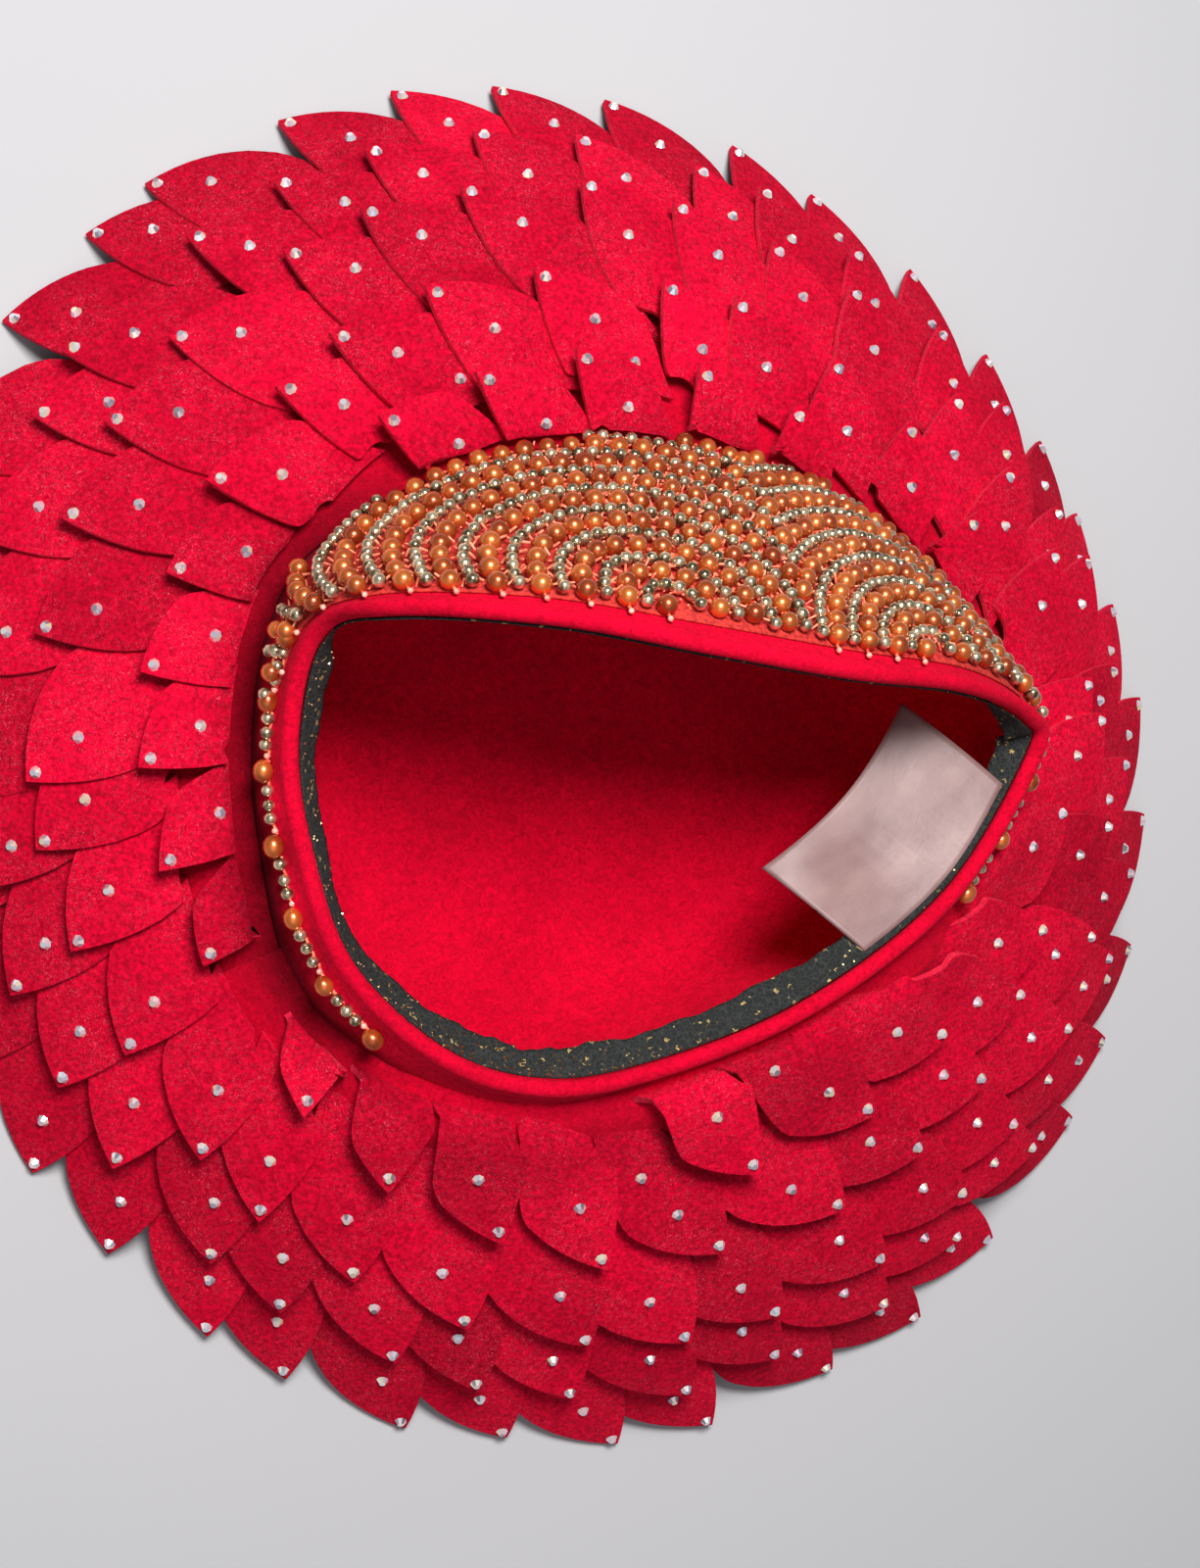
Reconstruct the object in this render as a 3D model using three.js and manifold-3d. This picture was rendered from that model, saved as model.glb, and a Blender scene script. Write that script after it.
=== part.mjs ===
// A felt dress hat that lies on its crown with the head opening up. A wide domed brim carries
// rows of leaf petals, and a crescent of beadwork covers the high side of the head opening.
// Millimetres. +Z points up out of the head opening, +X to the back of the head and +Y to the
// beaded side. The origin is on the flat tip of the crown, on the axis of the brim.
import * as THREE from 'three';
import { mergeVertices } from 'three/addons/utils/BufferGeometryUtils.js';
import Module from 'manifold-3d';

const wasm = await Module();
wasm.setup();

// Felt thicknesses and the gap between neighbouring pieces
const CROWN_FELT = 2.4;
const BRIM_FELT = 2.4;
const PETAL_FELT = 2;
const GAP = 0.3;

// Brim: a shallow dome, a little oval in plan
const BRIM_RADIUS = 236; // curvature of the dome
const BRIM_HEIGHT = 81; // top of the dome above the crown's tip
const BRIM_REACH = 211; // along the felt from the dome's top to the outer petal tips
const PETAL_OVERHANG = 26; // how far the outer petal tips stand past the brim's edge
const PLAN_SCALE = 0.975;
const PLAN_OVAL = 0.035;
const PLAN_TURN = 128; // degrees from +X to the long way of the oval

// Crown: the head opening at its foot, where the wall meets the brim
const HEAD_LENGTH = 218;
const HEAD_WIDTH = 172;
const CROWN_DEPTH = 133; // from the tip to the highest point of the lip
const LIP_ROLL = 4.6; // diameter of the rolled edge
const WALL_BOW = 0.04; // how far the wall bows out, as a share of its height
const TIP_LENGTH = 124; // flat oval that the hat lies on
const TIP_WIDTH = 92;
const TIP_X = 0;
const TIP_Y = -4;
const BLOCK_SQUARENESS = 2.5; // exponent of the curve from foot to tip

// Petals
const PETAL_LENGTH = 58;
const PETAL_WIDTH = 31;
const PETAL_SWIRL = 45; // degrees between a petal and the straight way out
const PETAL_LIFT = 10; // height of a tip above the brim
const PETAL_SEAT = 1.5; // height of a petal's root above the brim
const LIFT_CURVE = 0.9; // exponent of the rise from root to tip
const LEAF_WIDEST = 0.6; // where a petal is widest, as a share of its length from the tip
const LEAF_TAPER = 0.4; // how much narrower a petal is at its root
const TURN_JITTER = 0.12; // how unevenly the petals are set, as a share of their spacing
const SWIRL_JITTER = 4; // degrees
const TIP_JITTER = 1.6;
const WIDTH_JITTER = 0.05;
const SHORTEST_REACH = 10.5; // a petal with less room than this is left off
const ROOT_SHARE = 0.44; // half of a root's width, at most, as a share of the petals' spacing
const BACKING_WIDTH = 5.5;
const BACKING_SEAT = 0.5; // height of the backing strips above the brim
const BACKING_HEIGHT = 2.2;
const STRIP_MARGIN = 1.2; // least distance between the backing strips of two rows
const COLLAR_WIDTH = 2.6;
const COLLAR_HEIGHT = 4;
const ROOT_MARGIN = 2.4; // from the collar to the roots of the petals outside it
const ROW_STEP = 14; // least distance between the roots of two rows
const ROOT_COVER = 1; // how far at least a row's roots lie under the petals inside them

// Beadwork, trim and label
const BEAD_DIAMETER = 5.6;
const BAND_TOP = LIP_ROLL; // bare felt between the lip and the beadwork
const BAND_MARGIN = 6; // bare wall between the beadwork and the foot
const BAND_FROM = -0.06; // ends of the beadwork, as shares of the way round the wall
const BAND_TO = 0.64;
const TRIM_WIDTH = 8.5;
const TRIM_THICKNESS = 1;
const TRIM_LEAN = 35; // degrees that the trim stands off the wall
const LABEL_LENGTH = 64;
const LABEL_WIDTH = 35;
const LABEL_THICKNESS = 0.8;
const LABEL_DROP = 11; // how far the label's free edge hangs below its sewn edge
const LABEL_INSET = 1.5; // from the lip to the label's sewn edge
const LABEL_CENTRE = 0.925; // middle of the label, as a share of the lip's length

// The crown's wall, station by station from the back of the head round by the beaded side.
// lipX and footX are shares of HEAD_LENGTH, lipY and footY of HEAD_WIDTH, lipZ of CROWN_DEPTH.
// band is the share of the wall's height that is beaded.
const WALL = [
  { lipX: 0.489, lipY: 0.019, lipZ: 0.645, footX: 0.502, footY: 0.013, band: 0.00 },
  { lipX: 0.456, lipY: 0.082, lipZ: 0.719, footX: 0.484, footY: 0.142, band: 0.25 },
  { lipX: 0.328, lipY: 0.122, lipZ: 0.852, footX: 0.383, footY: 0.322, band: 1.00 },
  { lipX: 0.159, lipY: 0.137, lipZ: 0.941, footX: 0.191, footY: 0.456, band: 1.00 },
  { lipX: -0.029, lipY: 0.167, lipZ: 1.000, footX: -0.029, footY: 0.491, band: 1.00 },
  { lipX: -0.213, lipY: 0.204, lipZ: 0.985, footX: -0.231, footY: 0.444, band: 1.00 },
  { lipX: -0.381, lipY: 0.218, lipZ: 0.857, footX: -0.392, footY: 0.322, band: 0.90 },
  { lipX: -0.437, lipY: 0.187, lipZ: 0.685, footX: -0.448, footY: 0.194, band: 0.40 },
  { lipX: -0.451, lipY: 0.045, lipZ: 0.581, footX: -0.465, footY: 0.045, band: 0.00 },
  { lipX: -0.435, lipY: -0.105, lipZ: 0.557, footX: -0.457, footY: -0.112, band: 0.00 },
  { lipX: -0.382, lipY: -0.291, lipZ: 0.547, footX: -0.413, footY: -0.316, band: 0.00 },
  { lipX: -0.276, lipY: -0.424, lipZ: 0.562, footX: -0.297, footY: -0.462, band: 0.00 },
  { lipX: -0.162, lipY: -0.479, lipZ: 0.586, footX: -0.167, footY: -0.520, band: 0.00 },
  { lipX: -0.031, lipY: -0.466, lipZ: 0.611, footX: -0.026, footY: -0.494, band: 0.00 },
  { lipX: 0.181, lipY: -0.373, lipZ: 0.626, footX: 0.189, footY: -0.394, band: 0.00 },
  { lipX: 0.378, lipY: -0.204, lipZ: 0.621, footX: 0.391, footY: -0.221, band: 0.00 },
];

// Rows of petals from the rim inwards. tip is the share of BRIM_REACH where the tips lie, petals
// the number in a full round and first the turn of the first root in degrees.
const ROWS = [
  { name: 'petal_row_1', tip: 1.0, petals: 36, first: 2.0 },
  { name: 'petal_row_2', tip: 0.89, petals: 36, first: 6.5 },
  { name: 'petal_row_3', tip: 0.782, petals: 33, first: 1.0 },
  { name: 'petal_row_4', tip: 0.638, petals: 30, first: 4.0 },
  { name: 'petal_row_5', tip: 0.519, petals: 25, first: 3.0 },
];

// Fineness of the facets
const WALL_SIDES = 40;
const BRIM_RINGS = 3;
const ROLL_STEPS = 4;
const BLOCK_STEPS = 3;
const PETAL_STEPS = [0.5, 0.83]; // shares of a petal's length where its outline has corners
const LABEL_STEPS = 6;

const FELT_RED = 0xc4122b;
const BEAD_ORANGE = 0xd9863f;
const TRIM_BLACK = 0x24262b;
const LABEL_WHITE = 0xe9dfe0;

const domeCentre = BRIM_HEIGHT - BRIM_RADIUS;
const radians = THREE.MathUtils.degToRad;

// A number between -1 and 1 that looks random and is the same every time.
function wobble(seed) {
  const wave = Math.sin(seed * 12.9898) * 43758.5453;
  return (wave - Math.floor(wave)) * 2 - 1;
}

function planFactor(turn) {
  return PLAN_SCALE * (1 + PLAN_OVAL * Math.cos(2 * (turn - radians(PLAN_TURN))));
}

// A point on the brim: arc along the felt from the dome's top, turn round the axis, lift above.
function domePoint(arc, turn, lift) {
  const angle = arc / BRIM_RADIUS;
  const across = (BRIM_RADIUS + lift) * Math.sin(angle) * planFactor(turn);
  const height = (BRIM_RADIUS + lift) * Math.cos(angle) + domeCentre;
  return new THREE.Vector3(across * Math.cos(turn), across * Math.sin(turn), height);
}

function domeArc(x, y) {
  const share = Math.hypot(x, y) / (BRIM_RADIUS * planFactor(Math.atan2(y, x)));
  return BRIM_RADIUS * Math.asin(share);
}

// Closed curves through the stations of the wall
const lipCurve = new THREE.CatmullRomCurve3(
  WALL.map((row) => new THREE.Vector3(
    row.lipX * HEAD_LENGTH, row.lipY * HEAD_WIDTH, row.lipZ * CROWN_DEPTH)),
  true, 'catmullrom');
const footCurve = new THREE.CatmullRomCurve3(
  WALL.map((row) => {
    const x = row.footX * HEAD_LENGTH;
    const y = row.footY * HEAD_WIDTH;
    return domePoint(domeArc(x, y), Math.atan2(y, x), 0);
  }),
  true, 'catmullrom');

// A column of WALL, read between its stations
function column(name, share) {
  const place = THREE.MathUtils.euclideanModulo(share, 1) * WALL.length;
  const before = Math.floor(place);
  const after = (before + 1) % WALL.length;
  return THREE.MathUtils.lerp(WALL[before][name], WALL[after][name], place - before);
}

// The wall's frame at one share of the way round: where it is, and the ways down and out
function wallFrame(share) {
  const place = THREE.MathUtils.euclideanModulo(share, 1);
  const lip = lipCurve.getPoint(place);
  const foot = footCurve.getPoint(place);
  const before = (place - 0.25 / WALL_SIDES + 1) % 1;
  const after = (place + 0.25 / WALL_SIDES) % 1;
  const middle = [before, after].map((there) => (
    lipCurve.getPoint(there).lerp(footCurve.getPoint(there), 0.5)));
  const along = middle[1].sub(middle[0]).normalize();
  const down = foot.clone().sub(lip).normalize();
  const out = down.clone().cross(along).normalize();
  return { lip, foot, down, out, length: foot.distanceTo(lip) };
}

// A point of the wall at a distance down from the lip, off its middle by some offset outwards
function wallPoint(frame, distance, offset) {
  const bow = WALL_BOW * frame.length * Math.sin(Math.PI * distance / frame.length);
  return frame.lip.clone()
    .addScaledVector(frame.down, distance)
    .addScaledVector(frame.out, bow + offset);
}

// A point of the crown below the brim: 0 at the foot, 1 at the tip's edge
function blockPoint(frame, share, inset) {
  const angle = share * Math.PI / 2;
  const wide = Math.cos(angle) ** (2 / BLOCK_SQUARENESS);
  const low = Math.sin(angle) ** (2 / BLOCK_SQUARENESS);
  const outer = frame.foot.clone().addScaledVector(frame.out, CROWN_FELT / 2);
  const turn = Math.atan2(outer.y / HEAD_WIDTH, outer.x / HEAD_LENGTH);
  const tip = new THREE.Vector3(
    TIP_X + TIP_LENGTH / 2 * Math.cos(turn), TIP_Y + TIP_WIDTH / 2 * Math.sin(turn), 0);
  const way = new THREE.Vector3(outer.x - tip.x, outer.y - tip.y, 0);
  const span = way.length();
  way.normalize();
  const point = tip.clone().addScaledVector(way, span * wide - inset * Math.cos(angle));
  point.z = outer.z * (1 - low) + inset * Math.sin(angle);
  return point;
}

function ringsToGeometry(rings, closed) {
  const sides = rings[0].length;
  const vertices = rings.flat().flatMap((point) => point.toArray());
  const faces = [];
  const count = closed ? rings.length : rings.length - 1;
  for (let ring = 0; ring < count; ring += 1) {
    for (let side = 0; side < sides; side += 1) {
      const a = ring * sides + side;
      const b = ring * sides + (side + 1) % sides;
      const c = (ring + 1) % rings.length * sides + side;
      const d = (ring + 1) % rings.length * sides + (side + 1) % sides;
      faces.push(a, b, d, a, d, c);
    }
  }
  if (!closed) {
    for (const [ring, flip] of [[0, true], [rings.length - 1, false]]) {
      const middle = new THREE.Vector3();
      rings[ring].forEach((point) => middle.add(point));
      middle.divideScalar(sides);
      const hub = vertices.length / 3;
      vertices.push(...middle.toArray());
      for (let side = 0; side < sides; side += 1) {
        const a = ring * sides + side;
        const b = ring * sides + (side + 1) % sides;
        faces.push(...(flip ? [b, a, hub] : [a, b, hub]));
      }
    }
  }
  const geometry = new THREE.BufferGeometry();
  geometry.setAttribute('position', new THREE.Float32BufferAttribute(vertices, 3));
  geometry.setIndex(faces);
  return geometry;
}

// Booleans work on closed meshes that share their vertices.
function toSolid(geometry) {
  const merged = mergeVertices(geometry, 1e-4);
  return new wasm.Manifold(new wasm.Mesh({
    numProp: 3,
    vertProperties: new Float32Array(merged.attributes.position.array),
    triVerts: new Uint32Array(merged.index.array),
  }));
}

function toGeometry(solid) {
  const mesh = solid.getMesh();
  const geometry = new THREE.BufferGeometry();
  geometry.setAttribute('position', new THREE.BufferAttribute(mesh.vertProperties, 3));
  geometry.setIndex(new THREE.BufferAttribute(mesh.triVerts, 1));
  return geometry;
}

const wallShares = Array.from({ length: WALL_SIDES }, (_, side) => side / WALL_SIDES);
const frames = wallShares.map(wallFrame);

// The crown as rings: its outer face up to the lip, over the roll and down its inner face
function crownGeometry() {
  const rings = [];
  for (let step = BLOCK_STEPS; step >= 0; step -= 1) {
    rings.push(frames.map((frame) => blockPoint(frame, step / BLOCK_STEPS, 0)));
  }
  rings.push(frames.map((frame) => wallPoint(frame, frame.length / 2, CROWN_FELT / 2)));
  rings.push(frames.map((frame) => wallPoint(frame, LIP_ROLL, CROWN_FELT / 2)));
  for (let step = 0; step <= ROLL_STEPS; step += 1) {
    const angle = Math.PI * step / ROLL_STEPS;
    rings.push(frames.map((frame) => frame.lip.clone()
      .addScaledVector(frame.out, LIP_ROLL / 2 * Math.cos(angle))
      .addScaledVector(frame.down, -LIP_ROLL / 2 * Math.sin(angle))));
  }
  rings.push(frames.map((frame) => wallPoint(frame, LIP_ROLL, -CROWN_FELT / 2)));
  rings.push(frames.map((frame) => wallPoint(frame, frame.length / 2, -CROWN_FELT / 2)));
  for (let step = 0; step <= BLOCK_STEPS; step += 1) {
    rings.push(frames.map((frame) => blockPoint(frame, step / BLOCK_STEPS, CROWN_FELT)));
  }
  return ringsToGeometry(rings, false);
}

// The crown's foot seen from above: turn and distance from the axis, and arc along the brim
const footRing = frames.map((frame) => {
  const outer = frame.foot.clone().addScaledVector(frame.out, CROWN_FELT / 2);
  const turn = THREE.MathUtils.euclideanModulo(Math.atan2(outer.y, outer.x), 2 * Math.PI);
  return { turn, across: Math.hypot(outer.x, outer.y), arc: domeArc(outer.x, outer.y) };
});
const footByTurn = footRing.toSorted((one, other) => one.turn - other.turn);

function footArc(turn) {
  const place = THREE.MathUtils.euclideanModulo(turn, 2 * Math.PI);
  const after = footByTurn.findIndex((entry) => entry.turn > place);
  const next = footByTurn[after < 0 ? 0 : after];
  const last = footByTurn.at((after < 0 ? 0 : after) - 1);
  const span = THREE.MathUtils.euclideanModulo(next.turn - last.turn, 2 * Math.PI);
  const share = THREE.MathUtils.euclideanModulo(place - last.turn, 2 * Math.PI) / span;
  return THREE.MathUtils.lerp(last.arc, next.arc, share);
}

// The brim's felt, from its edge in to the crown's foot and back along its other face
function brimGeometry() {
  const edge = BRIM_REACH - PETAL_OVERHANG;
  const rings = [];
  for (let step = 0; step <= 2 * BRIM_RINGS + 1; step += 1) {
    const under = step > BRIM_RINGS;
    const inward = (under ? 2 * BRIM_RINGS + 1 - step : step) / BRIM_RINGS;
    rings.push(footRing.map(({ turn, across }) => {
      const lift = under ? -BRIM_FELT : 0;
      const share = (across + GAP) / ((BRIM_RADIUS + lift) * planFactor(turn));
      const inner = BRIM_RADIUS * Math.asin(share);
      return domePoint(THREE.MathUtils.lerp(edge, inner, inward), turn, lift);
    }));
  }
  return ringsToGeometry(rings, true);
}

// How far a petal's root keeps off the crown's wall. The inmost petals start on the collar.
function rootClearance(row) {
  return row === ROWS.length - 1 ? GAP + COLLAR_WIDTH / 4 : GAP + COLLAR_WIDTH + ROOT_MARGIN;
}

// Where the petals of a row are rooted: as far in as they reach, but off the crown's wall, off
// the roots of the row inside it and off that row's strip.
function rootArc(row, turn) {
  const full = ROWS[row].tip * BRIM_REACH - PETAL_LENGTH * Math.cos(radians(PETAL_SWIRL));
  const wall = footArc(turn);
  if (row === ROWS.length - 1) {
    return wall + rootClearance(row);
  }
  const next = rootArc(row + 1, turn);
  const inside = Math.min(next + ROW_STEP, ROWS[row + 1].tip * BRIM_REACH - ROOT_COVER);
  const strip = row + 2 < ROWS.length ? next + BACKING_WIDTH + STRIP_MARGIN : 0;
  return Math.max(full, wall + rootClearance(row), inside, strip);
}

// Half the width of a petal at a distance from its tip
function leafHalf(distance) {
  const share = distance / PETAL_LENGTH;
  if (share < LEAF_WIDEST) {
    return PETAL_WIDTH / 2 * (1 - ((LEAF_WIDEST - share) / LEAF_WIDEST) ** 2);
  }
  return PETAL_WIDTH / 2 * (1 - LEAF_TAPER * ((share - LEAF_WIDEST) / (1 - LEAF_WIDEST)) ** 2);
}

// The petals of a row: root, length, swirl and width of each, and whether there is room for it
function petalsOf(row) {
  const spec = ROWS[row];
  return Array.from({ length: spec.petals }, (_, index) => {
    const seed = 100 * (row + 1) + index;
    const step = 2 * Math.PI / spec.petals;
    const turn = radians(spec.first) + (index + TURN_JITTER * wobble(seed)) * step;
    const root = rootArc(row, turn);
    const swirl = radians(PETAL_SWIRL + SWIRL_JITTER * wobble(seed + 0.3));
    const tip = spec.tip * BRIM_REACH + TIP_JITTER * wobble(seed + 0.6);
    const reach = tip - root;
    const tipTurn = turn + reach * Math.tan(swirl) / (BRIM_RADIUS * Math.sin(tip / BRIM_RADIUS));
    const room = Math.min(reach, tip - footArc(tipTurn) - rootClearance(row));
    const spacing = BRIM_RADIUS * Math.sin(root / BRIM_RADIUS) * step;
    return {
      turn, root, swirl, spacing,
      clearance: rootClearance(row),
      seat: row === ROWS.length - 1 ? COLLAR_HEIGHT - PETAL_FELT / 2 : PETAL_SEAT,
      length: reach / Math.cos(swirl),
      widen: 1 + WIDTH_JITTER * wobble(seed + 0.9),
      lap: (PETAL_FELT + GAP) / spacing,
      fits: room >= SHORTEST_REACH,
    };
  });
}

// A point of a petal: outward and sideways from its root, and above its underside
function petalPoint(petal, outward, sideways, above) {
  const free = petal.root + outward;
  const turn = petal.turn + sideways / (BRIM_RADIUS * Math.sin(free / BRIM_RADIUS));
  const arc = Math.max(free, footArc(turn) + petal.clearance);
  const reach = petal.length * Math.cos(petal.swirl);
  const lift = petal.seat + PETAL_LIFT * (outward / reach) ** LIFT_CURVE + petal.lap * sideways;
  return domePoint(arc, turn, lift + above);
}

function petalGeometry(petal) {
  const cos = Math.cos(petal.swirl);
  const sin = Math.sin(petal.swirl);
  const rootHalf = Math.min(leafHalf(petal.length) / cos, ROOT_SHARE * petal.spacing);
  const corners = [[0, rootHalf], [0, -rootHalf]];
  for (const step of PETAL_STEPS) {
    const along = step * petal.length;
    const half = leafHalf(petal.length - along) * petal.widen;
    corners.push([along * cos - half * sin, along * sin + half * cos]);
    corners.push([along * cos + half * sin, along * sin - half * cos]);
  }
  corners.push([petal.length * cos, petal.length * sin]);
  const vertices = [];
  for (const above of [0, PETAL_FELT]) {
    for (const [outward, sideways] of corners) {
      vertices.push(...petalPoint(petal, outward, sideways, above).toArray());
    }
  }
  const count = corners.length;
  const faces = [];
  for (let pair = 0; pair + 3 < count; pair += 2) {
    faces.push(pair, pair + 2, pair + 3, pair, pair + 3, pair + 1);
    faces.push(count + pair, count + pair + 3, count + pair + 2);
    faces.push(count + pair, count + pair + 1, count + pair + 3);
  }
  faces.push(count - 3, count - 1, count - 2);
  faces.push(2 * count - 3, 2 * count - 2, 2 * count - 1);
  const left = [];
  const right = [];
  for (let pair = 0; pair + 1 < count; pair += 2) {
    left.push(pair);
    right.push(pair + 1);
  }
  const outline = [...right, count - 1, ...left.reverse()];
  outline.forEach((from, index) => {
    const to = outline[(index + 1) % outline.length];
    faces.push(from, to, count + to, from, count + to, count + from);
  });
  const geometry = new THREE.BufferGeometry();
  geometry.setAttribute('position', new THREE.Float32BufferAttribute(vertices, 3));
  geometry.setIndex(faces);
  return geometry;
}

// The strip that a row's petals are rooted on
function backingGeometry(petals) {
  const closed = petals.every((petal) => petal.fits);
  const first = petals.findIndex((petal) => petal.fits);
  const last = petals.findLastIndex((petal) => petal.fits);
  const rooted = closed ? petals : petals.slice(first, last + 1);
  return ringsToGeometry(rooted.map(({ turn, root }) => [
    domePoint(root - GAP, turn, BACKING_SEAT),
    domePoint(root - GAP, turn, BACKING_SEAT + BACKING_HEIGHT),
    domePoint(root + BACKING_WIDTH, turn, BACKING_SEAT),
  ]), closed);
}

// The collar round the crown's foot, on which the inmost petals are rooted
function collarGeometry() {
  return ringsToGeometry(footRing.map(({ turn, across }) => {
    const inner = BRIM_RADIUS * Math.asin((across + GAP) / (BRIM_RADIUS * planFactor(turn)));
    return [
      domePoint(inner, turn, GAP),
      domePoint(inner, turn, COLLAR_HEIGHT),
      domePoint(inner + COLLAR_WIDTH, turn, COLLAR_HEIGHT),
      domePoint(inner + COLLAR_WIDTH, turn, GAP),
    ];
  }), true);
}

function petalRowGeometry(row) {
  const petals = petalsOf(row);
  const inmost = row === ROWS.length - 1;
  let solid = toSolid(inmost ? collarGeometry() : backingGeometry(petals));
  for (const petal of petals.filter((entry) => entry.fits)) {
    solid = solid.add(toSolid(petalGeometry(petal)));
  }
  return toGeometry(solid);
}

// The beadwork: a crescent on the wall's outer face that thins to one line of beads at its ends
function bandGeometry() {
  const sections = [];
  const first = Math.round(BAND_FROM * WALL_SIDES);
  for (let side = Math.round(BAND_TO * WALL_SIDES); side >= first; side -= 1) {
    const frame = frames.at(side);
    const room = frame.length - BAND_TOP - BAND_MARGIN;
    const width = Math.max(BEAD_DIAMETER, column('band', side / WALL_SIDES) * room);
    const inner = [0, 0.5, 1].map((share) => wallPoint(
      frame, BAND_TOP + width * share, CROWN_FELT / 2 + GAP));
    const outer = [1, 0.5, 0].map((share) => wallPoint(
      frame, BAND_TOP + width * share, CROWN_FELT / 2 + GAP + BEAD_DIAMETER));
    sections.push([...inner, ...outer]);
  }
  return ringsToGeometry(sections, false);
}

// A point of the lace trim: distance down from the lip and lift off the trim's back
function trimPoint(frame, distance, lift) {
  const lean = radians(TRIM_LEAN);
  const inward = LIP_ROLL / 2 + GAP + distance * Math.sin(lean) + lift * Math.cos(lean);
  return frame.lip.clone()
    .addScaledVector(frame.out, -inward)
    .addScaledVector(frame.down, distance * Math.cos(lean) - lift * Math.sin(lean));
}

// The lace trim: a ribbon sewn inside the lip that stands off the wall
function trimGeometry() {
  return ringsToGeometry([
    frames.map((frame) => trimPoint(frame, 0, 0)),
    frames.map((frame) => trimPoint(frame, 0, TRIM_THICKNESS)),
    frames.map((frame) => trimPoint(frame, TRIM_WIDTH, TRIM_THICKNESS)),
    frames.map((frame) => trimPoint(frame, TRIM_WIDTH, 0)),
  ], true);
}

// The label: sewn to the trim along one long edge, its free edge standing in over the hollow
function labelGeometry() {
  const lipLength = lipCurve.getLength();
  const sewn = [];
  for (let step = 0; step <= LABEL_STEPS; step += 1) {
    const along = LABEL_LENGTH * (step / LABEL_STEPS - 0.5);
    const place = THREE.MathUtils.euclideanModulo(LABEL_CENTRE + along / lipLength, 1);
    const side = lipCurve.getUtoTmapping(place) * WALL_SIDES;
    const [before, after] = [Math.floor(side), Math.ceil(side) % WALL_SIDES].map((corner) => (
      trimPoint(frames.at(corner), LABEL_INSET, TRIM_THICKNESS + 2 * GAP)));
    sewn.push(before.lerp(after, side % 1));
  }
  const chord = sewn[LABEL_STEPS].clone().sub(sewn[0]).normalize();
  const inward = new THREE.Vector3(0, 0, 1).cross(chord).normalize();
  const slope = Math.asin(LABEL_DROP / LABEL_WIDTH);
  const way = inward.multiplyScalar(Math.cos(slope)).setZ(-Math.sin(slope));
  const up = chord.clone().cross(way).multiplyScalar(-LABEL_THICKNESS);
  return ringsToGeometry(sewn.map((edge) => {
    const free = edge.clone().addScaledVector(way, LABEL_WIDTH);
    return [edge.clone().add(up), free.clone().add(up), free, edge];
  }), false);
}

const felt = new THREE.MeshStandardMaterial({ color: FELT_RED, roughness: 0.95, metalness: 0 });
const beads = new THREE.MeshStandardMaterial({ color: BEAD_ORANGE, roughness: 0.3, metalness: 0.2 });
const lace = new THREE.MeshStandardMaterial({ color: TRIM_BLACK, roughness: 0.8, metalness: 0.1 });
const satin = new THREE.MeshStandardMaterial({ color: LABEL_WHITE, roughness: 0.4, metalness: 0 });

const hat = new THREE.Group();

function addPiece(name, geometry, material) {
  const piece = new THREE.Mesh(geometry, material);
  piece.name = name;
  hat.add(piece);
}

addPiece('crown', crownGeometry(), felt);
addPiece('brim', brimGeometry(), felt);
ROWS.forEach((row, index) => addPiece(row.name, petalRowGeometry(index), felt));
addPiece('beaded_band', bandGeometry(), beads);
addPiece('inner_trim', trimGeometry(), lace);
addPiece('label', labelGeometry(), satin);

export default hat;
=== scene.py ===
# A red felt dress hat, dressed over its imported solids. It lies on its crown, opening up.
# Metres. +Z up out of the head opening, +X to the back of the head, +Y to the beaded side.
import math
from bisect import bisect

import bpy
import bmesh
from mathutils import Matrix, Vector


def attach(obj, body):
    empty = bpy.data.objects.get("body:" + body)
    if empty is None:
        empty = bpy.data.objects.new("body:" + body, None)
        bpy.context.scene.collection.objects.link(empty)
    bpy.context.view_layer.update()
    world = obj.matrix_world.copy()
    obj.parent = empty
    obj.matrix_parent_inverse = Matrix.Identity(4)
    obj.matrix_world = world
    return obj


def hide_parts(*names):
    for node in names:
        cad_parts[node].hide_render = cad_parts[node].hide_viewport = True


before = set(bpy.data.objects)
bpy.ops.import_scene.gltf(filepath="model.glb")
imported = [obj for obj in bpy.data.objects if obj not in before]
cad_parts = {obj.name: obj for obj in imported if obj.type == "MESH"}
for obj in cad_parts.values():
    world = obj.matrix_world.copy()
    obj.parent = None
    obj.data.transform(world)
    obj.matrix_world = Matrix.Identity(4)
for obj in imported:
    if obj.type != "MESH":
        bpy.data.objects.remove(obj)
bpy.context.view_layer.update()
mm = 0.001


def wobble(seed):  # between -1 and 1, looks random, always the same
    wave = math.sin(seed * 12.9898) * 43758.5453
    return (wave - math.floor(wave)) * 2 - 1


def mix(low, high, share):
    return low + (high - low) * share


def smooth(share):
    share = min(max(share, 0), 1)
    return share * share * (3 - 2 * share)


brim = {
    "radius": 236 * mm,  # curvature of the dome
    "height": 81 * mm,  # top of the dome above the crown's tip
    "reach": 211 * mm,  # along the felt to the outer petal tips
    "overhang": 26 * mm,
    "felt": 2.4 * mm,
    "planScale": 0.975,
    "planOval": 0.035,
    "planTurn": math.radians(128),
    "gap": 0.3 * mm,  # clearance round the crown
    "rounding": 0.5 * mm,
    "rows": 12,
}


def planFactor(turn):
    return brim["planScale"] * (1 + brim["planOval"] * math.cos(2 * (turn - brim["planTurn"])))


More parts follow.
